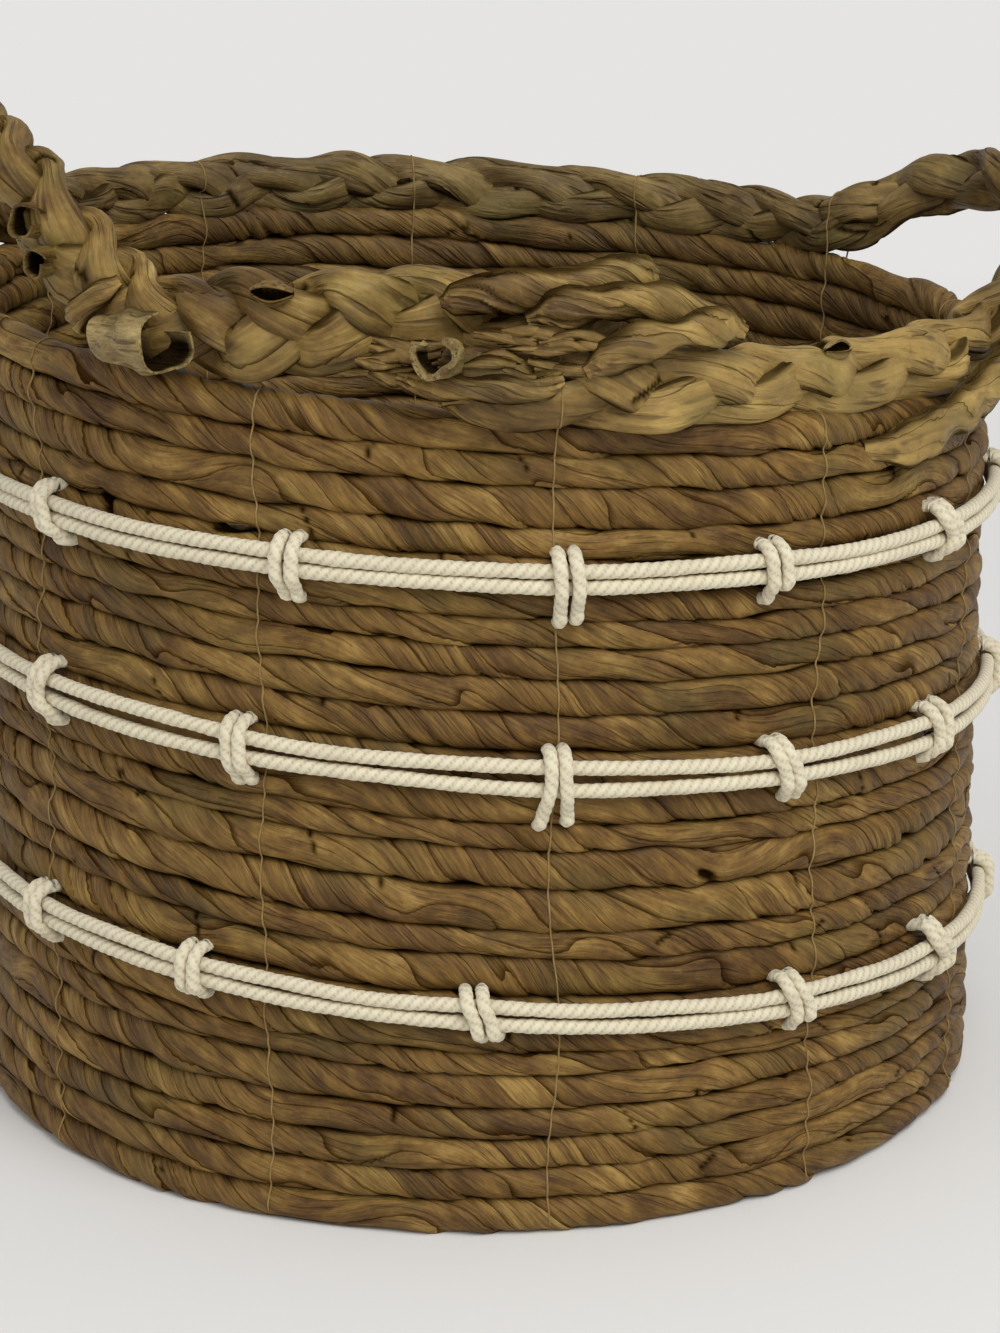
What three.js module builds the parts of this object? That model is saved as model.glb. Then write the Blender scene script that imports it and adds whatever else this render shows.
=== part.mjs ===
// A round storage basket, coiled from twisted leaf rope.
// One rope spirals out over the base and climbs the wall, course on course. Thin threads sew the courses
// together, three bands of doubled cotton cord circle the wall under small ties, and a plait of three leaf
// strands finishes the rim and lifts off it twice to make the handles.
// Millimetres, Z up. The origin is the middle of the base, on the floor, and the front faces -Y.
// An azimuth is an angle round the basket in degrees: 0 at the front, growing towards +X.

import * as THREE from 'three';

const { clamp, degToRad, euclideanModulo, lerp, smoothstep } = THREE.MathUtils;
const FULL_TURN = 360;
const HALF_TURN = FULL_TURN / 2;
const MID_STEP = 0.5; // a wound tube is cut half way between two of its corners
const TANGENT_REACH = 1; // degrees each way over which the plait's direction is taken
const WALKING_STEP = 0.05; // degrees, when the plait's centre line is measured off

// Air left between neighbours
const SEAT_GAP = 0.3; // between two pieces that rest on each other
const TURN_GAP = 0.5; // between two turns of one rope or cord

// Wall rope
const WALL_RADIUS = 150; // outer face of the courses
const COURSE_PITCH = 9.1; // height gained in one turn
const WALL_TURNS = 24.5; // turns wound on top of the lowest course
const SPLICE_TURNS = 12.5; // turns wound when a new length of rope is joined on
const JOG_TURNS = 8; // turns over which the first step up evens out to a steady climb
const CLIMB_AZIMUTH = -82; // where the rope leaves the floor
const ROPE_SIDES = 5;
const STEPS_PER_TURN = 24;

// The basket leans: its courses run higher on one side
const LEAN_RISE = 9; // how far the high side rises and the low side sinks
const LEAN_AZIMUTH = -80; // the high side
const LEAN_COURSES = 6; // lowest courses, over which the lean builds up

// Base rope
const BASE_TURNS = 14; // turns of the flat spiral, the last of which is the lowest course of the wall
const FINE_BASE_TURNS = 1; // outermost turns with as many steps as the wall has
const TAPER_TURNS = 1.5; // turns over which the thin start of the rope grows to full size
const TAPER_START = 0.6; // size of that start, as a share of the full rope
const START_RUN = 0.3; // straight run before the first bend, as a share of the spiral's pitch

// Stitching threads, each one from the floor over the rim and down inside
const THREAD_DIAMETER = 0.9;
const STITCH_COUNT = 12;
const FIRST_STITCH_AZIMUTH = 8;
const STITCH_FOOT = 2; // height of a thread's two ends above what is under them
const STITCHED_LIFT = 8; // a plait that has lifted further than this is out of the stitches
const THREAD_SIDES = 4;

// Cotton bands, each one cord wound twice round
const CORD_DIAMETER = 3.7;
const BAND_TURNS = 2;
const CORD_SIDES = 4;
const BAND_LAG_STEPS = 6; // whole steps from the start of the climb to the cord's two ends, at the back
const BANDS = [
  { name: 'top', course: 19.8, tilt: 6.5, gap: 0.5, frontTies: [-47.7, -18.2, 8, 30.7, 57] },
  { name: 'middle', course: 13.85, tilt: 10, gap: 1.9, frontTies: [-49.7, -23.9, 8, 32.7, 56.4] },
  { name: 'bottom', course: 6.45, tilt: 11, gap: 0.9, frontTies: [-52, -29.6, 2, 34.7, 58.7] },
];

// Cotton ties, each one string that crosses the band, turns back in a groove and crosses it again
const TIES_PER_BAND = 13;
const TIE_DIAMETER = 3.4;
const TIE_FOOT_DIAMETER = 1.8; // the string drawn tight in the groove
const FOOT_SINK = 0.4; // how deep the foot lies, as a share of the groove's depth
const TIE_SIDES = 4;

// Rim plait of three flat leaf strands
const STRAND_COUNT = 3;
const STRAND_WIDTH = 6.6;
const STRAND_THICKNESS = 5;
const PLAIT_SWAY = 7.4; // how far a strand swings up and down from the plait's middle
const PLAIT_DEPTH = 4.4; // how far it swings in and out
const PLAIT_CYCLE = 60; // length in which a strand comes back to its place
const STEPS_PER_CYCLE = 6; // two of which fall where strands cross
const STRAND_SIDES = 4;
const PLAIT_START_AZIMUTH = 17; // the end that lies on top, at the front
const LAP_ANGLE = 20; // how far the two ends pass each other
const LAP_EASE = 18; // angle over which an end swings out of line before the lap
const LAP_LIFT = 13; // how far the end on top rides up
const LIFT_EASE = 34; // angle over which it climbs there

// Handles: where the plait lifts off the wall
const HANDLES = {
  left: { azimuth: -71.5, halfSpan: 32.5, rise: 38.5, fullness: 2.6, splay: 3.7 },
  right: { azimuth: 98.5, halfSpan: 26.5, rise: 21, fullness: 3, splay: 22 },
};
const FOOT_SOFTNESS = 10; // how gently a handle's feet bend away from the wall

// Sections: how far a many-sided section reaches from its centre, as a share of its radius
const HALF_SECTOR = Math.PI / ROPE_SIDES;
const FLAT_REACH = Math.cos(HALF_SECTOR); // to the flat opposite its leading corner
const SIDE_REACH = Math.cos(HALF_SECTOR / 2); // to either side
const SIDE_SHIFT = Math.sin(HALF_SECTOR / 2); // from the centre towards the leading corner, at that side

// Places that follow from the sizes
const STEP_ANGLE = FULL_TURN / STEPS_PER_TURN;
const BASE_PITCH = (WALL_RADIUS + TURN_GAP / 2) / (BASE_TURNS + 0.5);
const BASE_SECTION = (BASE_PITCH - TURN_GAP) / 2 / SIDE_REACH;
const WALL_HALF_HEIGHT = (COURSE_PITCH - TURN_GAP) / 2;
const FLOOR_COURSE = BASE_SECTION * FLAT_REACH;
const BASE_TOP = FLOOR_COURSE + BASE_SECTION;
const SECOND_COURSE = BASE_TOP + TURN_GAP + WALL_HALF_HEIGHT;
const THREAD_RADIUS = WALL_RADIUS + SEAT_GAP + THREAD_DIAMETER / 2;
const CORD_RADIUS = THREAD_RADIUS + THREAD_DIAMETER / 2 + SEAT_GAP + CORD_DIAMETER / 2;
const TIE_RADIUS = CORD_RADIUS + CORD_DIAMETER / 2 + SEAT_GAP + TIE_DIAMETER / 2;
const PLAIT_HALF_HEIGHT = PLAIT_SWAY + STRAND_WIDTH / 2;
const PLAIT_HALF_DEPTH = PLAIT_DEPTH + STRAND_THICKNESS / 2;
const PLAIT_RADIUS = WALL_RADIUS - WALL_HALF_HEIGHT / SIDE_REACH;
const LAP_SHIFT = PLAIT_HALF_DEPTH + SEAT_GAP;

// Materials
const LEAF = { color: 0x8d6839, roughness: 0.85, metalness: 0 };
const DARK_LEAF = { color: 0x7d5a31, roughness: 0.85, metalness: 0 };
const COTTON = { color: 0xe3d9c2, roughness: 0.95, metalness: 0 };
const THREAD = { color: 0xaa8246, roughness: 0.9, metalness: 0 };

const basket = new THREE.Group();

// Directions and places round the basket

function outward(azimuth) {
  const angle = degToRad(azimuth);
  return new THREE.Vector3(Math.sin(angle), -Math.cos(angle), 0);
}

function sideways(azimuth) {
  const angle = degToRad(azimuth);
  return new THREE.Vector3(Math.cos(angle), Math.sin(angle), 0);
}

function placeAt(radius, azimuth, height) {
  return outward(azimuth).multiplyScalar(radius).setZ(height);
}

// The courses are straight between two steps, so between them everything lies a little nearer the middle
function facetShare(azimuth) {
  const past = euclideanModulo(azimuth - CLIMB_AZIMUTH, STEP_ANGLE);
  return Math.cos(degToRad(STEP_ANGLE / 2)) / Math.cos(degToRad(past - STEP_ANGLE / 2));
}

// A tube through a list of rings, closed at both ends. A ring has its centre, its radius and the direction
// that its leading corner faces. A flat ring is wider across that direction, by its breadth, and a ring with
// no direction goes on facing as the ring before it.

function tubeGeometry(rings, sides) {
  const positions = [];
  const triangles = [];
  let facing = rings[0].facing;
  rings.forEach((ring, index) => {
    const before = rings[Math.max(index - 1, 0)].at;
    const after = rings[Math.min(index + 1, rings.length - 1)].at;
    const along = new THREE.Vector3().subVectors(after, before).normalize();
    facing = (ring.facing ?? facing).clone();
    facing.addScaledVector(along, -facing.dot(along)).normalize();
    const across = new THREE.Vector3().crossVectors(along, facing);
    for (let side = 0; side < sides; side += 1) {
      const angle = (2 * Math.PI * side) / sides;
      const corner = ring.at.clone();
      corner.addScaledVector(facing, ring.radius * Math.cos(angle));
      corner.addScaledVector(across, (ring.breadth ?? ring.radius) * Math.sin(angle));
      positions.push(corner.x, corner.y, corner.z);
    }
  });
  for (let ring = 0; ring < rings.length - 1; ring += 1) {
    for (let side = 0; side < sides; side += 1) {
      const here = ring * sides + side;
      const beside = ring * sides + ((side + 1) % sides);
      triangles.push(here, beside, beside + sides, here, beside + sides, here + sides);
    }
  }
  const last = (rings.length - 1) * sides;
  for (let side = 1; side < sides - 1; side += 1) {
    triangles.push(0, side + 1, side);
    triangles.push(last, last + side, last + side + 1);
  }
  const geometry = new THREE.BufferGeometry();
  geometry.setAttribute('position', new THREE.Float32BufferAttribute(positions, 3));
  geometry.setIndex(triangles);
  geometry.computeVertexNormals();
  return geometry;
}

function addPiece(name, rings, sides, look) {
  const mesh = new THREE.Mesh(tubeGeometry(rings, sides), new THREE.MeshStandardMaterial(look));
  mesh.name = name;
  basket.add(mesh);
}

// A wound tube turns its corners at whole steps. Its two ends are cut between steps, where it runs straight.

function windingRings(firstStep, lastStep, cornerAt) {
  const between = (step) => {
    const [before, after] = [cornerAt(Math.floor(step)), cornerAt(Math.ceil(step))];
    const share = step - Math.floor(step);
    return {
      at: before.at.lerp(after.at, share),
      radius: lerp(before.radius, after.radius, share),
      facing: before.facing.add(after.facing).normalize(),
    };
  };
  const rings = [between(firstStep)];
  for (let step = Math.ceil(firstStep); step <= Math.floor(lastStep); step += 1) {
    rings.push(cornerAt(step));
  }
  rings.push(between(lastStep));
  return rings;
}

// The least air between the turns of one winding, measured between the corners of its rings

function leastGap(rings, sides, stepsApart) {
  const corners = tubeGeometry(rings, sides).getAttribute('position');
  const pointA = new THREE.Vector3();
  const pointB = new THREE.Vector3();
  let least = Infinity;
  for (let a = 0; a < corners.count; a += 1) {
    pointA.fromBufferAttribute(corners, a);
    for (let b = a + stepsApart * sides; b < corners.count; b += 1) {
      least = Math.min(least, pointA.distanceTo(pointB.fromBufferAttribute(corners, b)));
    }
  }
  return least;
}

function addWinding(name, rings, sides, look, stepsApart) {
  addPiece(name, rings, sides, look);
  console.log(`${name}: least gap to itself ${leastGap(rings, sides, stepsApart).toFixed(2)} mm`);
}

// Heights of the courses

// Turns of height gained after some turns wound. In the first half turn the rope climbs over the base rope,
// which is still swinging out to the wall. The jog that this leaves evens out over the next turns.
function coursesClimbed(turns) {
  const part = turns - Math.floor(turns);
  const swing = part < 0.5 ? (1 - Math.cos(2 * Math.PI * part)) / 2 : 1;
  const jog = Math.sqrt(1 - (1 - swing) ** 2) - part;
  return turns + jog * clamp(1 - (turns - 1) / JOG_TURNS, 0, 1);
}

function leanAt(azimuth, rise) {
  return rise * Math.cos(degToRad(azimuth - LEAN_AZIMUTH));
}

function levelOf(courses) {
  if (courses < 1) {
    return lerp(FLOOR_COURSE, SECOND_COURSE, courses);
  }
  return SECOND_COURSE + (courses - 1) * COURSE_PITCH;
}

function courseHeight(turns, azimuth) {
  const courses = coursesClimbed(turns);
  return levelOf(courses) + leanAt(azimuth, LEAN_RISE) * clamp((courses - 1) / LEAN_COURSES, 0, 1);
}

// The rope is as thick as the courses beside it allow
function ropeRadius(turns, azimuth) {
  const here = courseHeight(turns, azimuth);
  const below = turns < 1 ? COURSE_PITCH : here - courseHeight(turns - 1, azimuth);
  const above = turns > WALL_TURNS - 1 ? COURSE_PITCH : courseHeight(turns + 1, azimuth) - here;
  return (Math.min(below, above, BASE_PITCH) - TURN_GAP) / 2 / SIDE_REACH;
}

function wallCorner(step) {
  const turns = step / STEPS_PER_TURN;
  const azimuth = CLIMB_AZIMUTH - step * STEP_ANGLE;
  const radius = ropeRadius(turns, azimuth);
  return {
    at: placeAt(WALL_RADIUS - radius, azimuth, courseHeight(turns, azimuth)),
    radius,
    facing: outward(azimuth),
  };
}

// Turns wound by the course that lies at an azimuth, counted from the lowest course
function turnsAt(azimuth, course) {
  return euclideanModulo(CLIMB_AZIMUTH - azimuth, FULL_TURN) / FULL_TURN + course;
}

// The highest course at an azimuth
function topTurns(azimuth) {
  return turnsAt(azimuth, Math.floor(WALL_TURNS - turnsAt(azimuth, 0)));
}

// Wall rope: two lengths, spliced end to end

const SPLICE_STEP = SPLICE_TURNS * STEPS_PER_TURN + MID_STEP;
const END_STEP = WALL_TURNS * STEPS_PER_TURN + MID_STEP;
const CLIMB_STEP = MID_STEP;
const CUT = (SEAT_GAP / 2 / (2 * Math.PI * WALL_RADIUS)) * STEPS_PER_TURN; // half the gap at a splice

function makeWall() {
  const lower = windingRings(CLIMB_STEP + CUT, SPLICE_STEP - CUT, wallCorner);
  const upper = windingRings(SPLICE_STEP + CUT, END_STEP, wallCorner);
  addWinding('wall_rope_lower', lower, ROPE_SIDES, LEAF, STEPS_PER_TURN / 2);
  addWinding('wall_rope_upper', upper, ROPE_SIDES, LEAF, STEPS_PER_TURN / 2);
}

// Base rope: a spiral of half circles whose centres take turns, so that each full turn is one pitch wider

function baseCorner(halfTurn, share) {
  const turns = (halfTurn + share) / 2;
  const azimuth = CLIMB_AZIMUTH - (halfTurn + share) * HALF_TURN;
  const growth = lerp(TAPER_START, 1, clamp(turns / TAPER_TURNS, 0, 1));
  const radius = BASE_SECTION * growth;
  const swingCentre = outward(CLIMB_AZIMUTH + HALF_TURN).multiplyScalar(BASE_PITCH / 2);
  const at = placeAt(((halfTurn + 1) * BASE_PITCH) / 2, azimuth, radius * FLAT_REACH);
  if (halfTurn % 2 === 0) {
    at.add(swingCentre);
  }
  return { at, radius, facing: new THREE.Vector3(0, 0, 1) };
}

function makeBase() {
  const start = baseCorner(0, 0);
  const rings = [];
  start.at.addScaledVector(sideways(CLIMB_AZIMUTH), START_RUN * BASE_PITCH);
  rings.push(start);
  const halfSteps = STEPS_PER_TURN / 2;
  for (let halfTurn = 0; halfTurn < 2 * BASE_TURNS; halfTurn += 1) {
    const stride = halfTurn < 2 * (BASE_TURNS - FINE_BASE_TURNS) ? 2 : 1;
    for (let step = 1; step <= halfSteps; step += stride) {
      rings.push(baseCorner(halfTurn, step / halfSteps));
    }
  }
  const ends = windingRings(0, CLIMB_STEP - CUT, wallCorner);
  rings.push({ ...start, at: ends[ends.length - 1].at, radius: BASE_SECTION });
  addWinding('base_rope', rings, ROPE_SIDES, DARK_LEAF, STEPS_PER_TURN / 2);
}

// Cotton bands

const BAND_START_STEP = BAND_LAG_STEPS + MID_STEP;

function bandHeight(band, turns, azimuth) {
  const spacing = CORD_DIAMETER + band.gap;
  return levelOf(band.course) + leanAt(azimuth, band.tilt) + (turns - BAND_TURNS / 2) * spacing;
}

function makeBand(band) {
  const cornerAt = (step) => {
    const azimuth = CLIMB_AZIMUTH - step * STEP_ANGLE;
    const turns = (step - BAND_START_STEP) / STEPS_PER_TURN;
    return {
      at: placeAt(CORD_RADIUS, azimuth, bandHeight(band, turns, azimuth)),
      radius: CORD_DIAMETER / 2,
      facing: outward(azimuth),
    };
  };
  const rings = windingRings(BAND_START_STEP, BAND_START_STEP + BAND_TURNS * STEPS_PER_TURN, cornerAt);
  addWinding(`band_cord_${band.name}`, rings, CORD_SIDES, COTTON, STEPS_PER_TURN / 2);
}

// Ties: five measured ones at the front of each band, and the others evenly round the back

function tieAzimuths(band) {
  const last = band.frontTies[band.frontTies.length - 1];
  const back = band.frontTies[0] + FULL_TURN - last;
  const others = TIES_PER_BAND - band.frontTies.length;
  const azimuths = [...band.frontTies];
  for (let index = 1; index <= others; index += 1) {
    azimuths.push(last + (back * index) / (others + 1));
  }
  return azimuths;
}

// The groove above a course: its height, and the radius at which a tie's foot lies in it
function grooveAt(azimuth, course) {
  const turns = turnsAt(azimuth, course);
  const height = (courseHeight(turns, azimuth) + courseHeight(turns + 1, azimuth)) / 2;
  const smaller = Math.min(ropeRadius(turns, azimuth), ropeRadius(turns + 1, azimuth));
  return { height, radius: WALL_RADIUS - FOOT_SINK * smaller * (1 - SIDE_SHIFT) };
}

// The heights of the two turns of a band's cord where they pass an azimuth
function cordHeights(band, azimuth) {
  const startAzimuth = CLIMB_AZIMUTH - BAND_START_STEP * STEP_ANGLE;
  const share = euclideanModulo(startAzimuth - azimuth, FULL_TURN) / FULL_TURN;
  return { lower: bandHeight(band, share, azimuth), upper: bandHeight(band, share + 1, azimuth) };
}

function makeTie(name, band, azimuth) {
  const { lower, upper } = cordHeights(band, azimuth);
  const footRoom = (CORD_DIAMETER + TIE_FOOT_DIAMETER) / 2 + SEAT_GAP;
  const legRoom = (CORD_DIAMETER + TIE_DIAMETER) / 2 + SEAT_GAP;
  let course = 0;
  while (grooveAt(azimuth, course + 1).height < lower - footRoom) {
    course += 1;
  }
  const below = grooveAt(azimuth, course);
  while (grooveAt(azimuth, course).height < upper + footRoom) {
    course += 1;
  }
  const above = grooveAt(azimuth, course);
  const legSpacing = (TIE_DIAMETER + THREAD_DIAMETER) / 2 + SEAT_GAP;
  const facets = facetShare(azimuth);
  const place = (side, radius, height, diameter) => ({
    at: placeAt(radius * facets, azimuth, height).addScaledVector(sideways(azimuth), side * legSpacing),
    radius: diameter / 2,
  });
  const rings = [
    place(-1, above.radius, above.height, TIE_FOOT_DIAMETER),
    place(-1, TIE_RADIUS, upper + legRoom, TIE_DIAMETER),
    place(-1, TIE_RADIUS, lower - legRoom, TIE_DIAMETER),
    place(-1, below.radius, below.height, TIE_FOOT_DIAMETER),
    place(1, below.radius, below.height, TIE_FOOT_DIAMETER),
    place(1, TIE_RADIUS, lower - legRoom, TIE_DIAMETER),
    place(1, TIE_RADIUS, upper + legRoom, TIE_DIAMETER),
    place(1, above.radius, above.height, TIE_FOOT_DIAMETER),
  ];
  rings[0].facing = sideways(azimuth);
  addPiece(name, rings, TIE_SIDES, COTTON);
}

// The plait's centre line. Its azimuth runs from the end on top leftwards round the basket to the other end.

const PLAIT_END_AZIMUTH = PLAIT_START_AZIMUTH - FULL_TURN - LAP_ANGLE;

function topOfWall(azimuth) {
  const turns = topTurns(azimuth);
  return courseHeight(turns, azimuth) + ropeRadius(turns, azimuth) * SIDE_REACH;
}

// Past the end of the wall rope the wall is one course lower, and the right handle bridges the step
function seatOfPlait(azimuth) {
  const { azimuth: middle, halfSpan } = HANDLES.right;
  const across = smoothstep(-azimuth, FULL_TURN - middle - halfSpan, FULL_TURN - middle + halfSpan);
  const far = topOfWall(middle - FULL_TURN + halfSpan);
  const near = topOfWall(middle - FULL_TURN - halfSpan);
  if (across > 0 && across < 1) {
    return lerp(far, near, across);
  }
  return topOfWall(azimuth);
}

function handleLift(handle, azimuth) {
  const past = Math.abs(euclideanModulo(azimuth - handle.azimuth + HALF_TURN, FULL_TURN) - HALF_TURN);
  const arch = handle.rise * (1 - (past / handle.halfSpan) ** handle.fullness);
  return (arch + Math.hypot(arch, FOOT_SOFTNESS)) / 2;
}

function plaitCentre(azimuth) {
  const onTop = 1 - smoothstep(PLAIT_START_AZIMUTH - azimuth, LAP_ANGLE, LAP_ANGLE + LAP_EASE);
  const below = 1 - smoothstep(azimuth - PLAIT_END_AZIMUTH, LAP_ANGLE, LAP_ANGLE + LAP_EASE);
  const climbed = 1 - smoothstep(PLAIT_START_AZIMUTH - azimuth, LAP_ANGLE, LAP_ANGLE + LIFT_EASE);
  let radius = PLAIT_RADIUS + LAP_SHIFT * (below - onTop);
  let height = seatOfPlait(azimuth) + SEAT_GAP + PLAIT_HALF_HEIGHT + LAP_LIFT * climbed;
  Object.values(HANDLES).forEach((handle) => {
    const lift = handleLift(handle, azimuth);
    radius += (handle.splay * lift) / handle.rise;
    height += lift;
  });
  return placeAt(radius, azimuth, height);
}

function plaitDirection(azimuth) {
  return plaitCentre(azimuth + TANGENT_REACH).sub(plaitCentre(azimuth - TANGENT_REACH)).normalize();
}

// The centre line measured off in even lengths
function plaitStations() {
  const stations = [{ azimuth: PLAIT_START_AZIMUTH, walked: 0 }];
  const stride = PLAIT_CYCLE / STEPS_PER_CYCLE;
  const walkingSteps = Math.floor((PLAIT_START_AZIMUTH - PLAIT_END_AZIMUTH) / WALKING_STEP);
  let walked = 0;
  let previous = plaitCentre(PLAIT_START_AZIMUTH);
  for (let step = 1; step <= walkingSteps; step += 1) {
    const azimuth = PLAIT_START_AZIMUTH - step * WALKING_STEP;
    const here = plaitCentre(azimuth);
    walked += here.distanceTo(previous);
    previous = here;
    if (walked >= stations.length * stride) {
      stations.push({ azimuth, walked });
    }
  }
  return stations;
}

function makeStrand(index, stations) {
  const firstCrossing = Math.PI / STEPS_PER_CYCLE;
  const phase = firstCrossing + (2 * Math.PI * index) / STRAND_COUNT;
  const rings = stations.map(({ azimuth, walked }) => {
    const angle = (2 * Math.PI * walked) / PLAIT_CYCLE + phase;
    const out = outward(azimuth);
    const up = new THREE.Vector3().crossVectors(out, plaitDirection(azimuth)).normalize();
    const at = plaitCentre(azimuth);
    at.addScaledVector(up, PLAIT_SWAY * Math.sin(angle));
    at.addScaledVector(out, PLAIT_DEPTH * Math.sin(2 * angle));
    return { at, radius: STRAND_THICKNESS / 2, breadth: STRAND_WIDTH / 2, facing: out };
  });
  addPiece(`rim_strand_${index + 1}`, rings, STRAND_SIDES, LEAF);
}

// Stitches: up the outside, over the plait or, under a handle, over the top course, and down the inside

function stitchOutline(azimuth) {
  const air = SEAT_GAP + THREAD_DIAMETER / 2;
  let inside = WALL_RADIUS;
  for (let turns = turnsAt(azimuth, 0); turns <= WALL_TURNS; turns += 1) {
    const radius = ropeRadius(turns, azimuth);
    inside = Math.min(inside, WALL_RADIUS - radius * (1 + FLAT_REACH) - air);
  }
  const turns = topTurns(azimuth);
  const rim = courseHeight(turns, azimuth);
  const wallTop = topOfWall(azimuth) + air;
  const start = [[THREAD_RADIUS, STITCH_FOOT], [THREAD_RADIUS, rim]];
  const end = [[inside, rim], [inside, BASE_TOP + STITCH_FOOT]];
  const lift = Math.max(...Object.values(HANDLES).map((handle) => handleLift(handle, azimuth)));
  if (lift > STITCHED_LIFT) {
    return [...start, [THREAD_RADIUS - air, wallTop], [inside, wallTop], ...end];
  }
  const outerAzimuth = azimuth < PLAIT_START_AZIMUTH - LAP_ANGLE ? azimuth : azimuth - FULL_TURN;
  const innerAzimuth = azimuth > PLAIT_START_AZIMUTH ? azimuth - FULL_TURN : azimuth;
  const outer = plaitCentre(outerAzimuth);
  const inner = plaitCentre(innerAzimuth);
  const outerFace = Math.hypot(outer.x, outer.y) + PLAIT_HALF_DEPTH + air;
  const innerFace = Math.hypot(inner.x, inner.y) - PLAIT_HALF_DEPTH - air;
  const direction = plaitDirection(outerAzimuth);
  const steepness = 1 / Math.hypot(direction.x, direction.y);
  const outerTop = outer.z + PLAIT_HALF_HEIGHT * steepness + air;
  const innerTop = inner.z + PLAIT_HALF_HEIGHT * steepness + air;
  const lapFace = Math.hypot(inner.x, inner.y) + PLAIT_HALF_DEPTH + air; // of the end on top, in the lap
  const upTheLap = outerAzimuth === innerAzimuth ? [] : [
    [lapFace, inner.z + PLAIT_SWAY],
    [lapFace - PLAIT_DEPTH - air, innerTop],
  ];
  return [
    ...start,
    [outerFace, outer.z - PLAIT_SWAY],
    [outerFace, outer.z + PLAIT_SWAY],
    [outerFace - PLAIT_DEPTH - air, outerTop],
    ...upTheLap,
    [innerFace + PLAIT_DEPTH + air, innerTop],
    [innerFace, inner.z + PLAIT_SWAY],
    [innerFace, inner.z - PLAIT_SWAY],
    ...end,
  ];
}

function makeStitch(name, azimuth) {
  const rings = stitchOutline(azimuth).map(([radius, height]) => ({
    at: placeAt(radius, azimuth, height),
    radius: THREAD_DIAMETER / 2,
    facing: sideways(azimuth),
  }));
  addPiece(name, rings, THREAD_SIDES, THREAD);
}

// The basket

const numbered = (name, index) => `${name}_${String(index + 1).padStart(2, '0')}`;

makeBase();
makeWall();
BANDS.forEach((band) => {
  makeBand(band);
  tieAzimuths(band).forEach((azimuth, index) => makeTie(numbered(`tie_${band.name}`, index), band, azimuth));
});
const stations = plaitStations();
for (let index = 0; index < STRAND_COUNT; index += 1) {
  makeStrand(index, stations);
}
for (let index = 0; index < STITCH_COUNT; index += 1) {
  const azimuth = FIRST_STITCH_AZIMUTH + (index * FULL_TURN) / STITCH_COUNT;
  makeStitch(numbered('stitch', index), azimuth > HALF_TURN ? azimuth - FULL_TURN : azimuth);
}

export default basket;
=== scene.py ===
# %% [markdown]
# # A round basket, coiled from twisted leaf rope
# The real basket is one long rope of dried leaf strips, laid round and round and sewn course on
# course. So this lesson makes no wall and cuts no pattern into it: it twists a rope, and winds that.
# The same few tools then make the plait on the rim, the cotton cords with their ties, and the sewing
# thread.

# %% The frame: the solids of the construction, read from model.glb
import math

import bpy
import numpy as np
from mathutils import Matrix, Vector


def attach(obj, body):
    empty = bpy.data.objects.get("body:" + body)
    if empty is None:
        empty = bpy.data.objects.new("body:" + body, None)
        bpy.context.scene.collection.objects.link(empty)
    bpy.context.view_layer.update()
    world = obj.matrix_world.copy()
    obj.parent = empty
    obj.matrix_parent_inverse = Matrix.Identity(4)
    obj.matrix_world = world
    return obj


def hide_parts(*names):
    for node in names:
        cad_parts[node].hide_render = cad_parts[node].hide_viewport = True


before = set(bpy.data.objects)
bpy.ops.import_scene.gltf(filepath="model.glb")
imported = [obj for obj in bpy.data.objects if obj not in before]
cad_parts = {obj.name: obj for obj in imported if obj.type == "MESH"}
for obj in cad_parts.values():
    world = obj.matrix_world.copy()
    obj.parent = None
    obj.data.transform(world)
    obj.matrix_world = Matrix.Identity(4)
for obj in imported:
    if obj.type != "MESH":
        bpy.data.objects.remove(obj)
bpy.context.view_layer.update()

bpy.ops.object.select_all(action="DESELECT")
print("nodes in the frame:", len(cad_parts))

# %% [markdown]
# ## Sizes
# Blender counts in metres, and a basket is measured in millimetres, so every size below is written in
# millimetres times MM. An azimuth is an angle round the basket in degrees: 0 at the front, growing to
# the right.

# %% Sizes of the construction, which the looks have to fit
MM = 0.001
FULL_TURN = 360
HALF_TURN = 180
SEAT_GAP = 0.3 * MM
TURN_GAP = 0.5 * MM

WALL_RADIUS = 150 * MM
COURSE_PITCH = 9.1 * MM
WALL_TURNS = 24.5
SPLICE_TURNS = 12.5
JOG_TURNS = 8
CLIMB_AZIMUTH = -82
STEPS_PER_TURN = 24
MID_STEP = 0.5 / STEPS_PER_TURN  # the ropes are cut half a step past a whole number of turns
LEAN_RISE = 9 * MM
LEAN_AZIMUTH = -80
LEAN_COURSES = 6

BASE_TURNS = 14
BASE_PITCH = (WALL_RADIUS + TURN_GAP / 2) / (BASE_TURNS + 0.5)
BASE_HALF = (BASE_PITCH - TURN_GAP) / 2
ROPE_SIDES = 5
BASE_SECTION = BASE_HALF / math.cos(math.pi / ROPE_SIDES / 2)
FLOOR_COURSE = BASE_SECTION * math.cos(math.pi / ROPE_SIDES)
BASE_TOP = FLOOR_COURSE + BASE_SECTION
COURSE_HALF = (COURSE_PITCH - TURN_GAP) / 2
SECOND_COURSE = BASE_TOP + TURN_GAP + COURSE_HALF

THREAD_DIAMETER = 0.9 * MM
CORD_DIAMETER = 3.7 * MM
THREAD_RADIUS = WALL_RADIUS + SEAT_GAP + THREAD_DIAMETER / 2
CORD_RADIUS = THREAD_RADIUS + THREAD_DIAMETER / 2 + SEAT_GAP + CORD_DIAMETER / 2

UP = np.array([0.0, 0.0, 1.0])

# %% Directions round the basket, and seeded wandering


def outward(azimuth):
    angle = np.radians(azimuth)
    return np.stack([np.sin(angle), -np.cos(angle), np.zeros_like(angle)], axis=-1)


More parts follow.
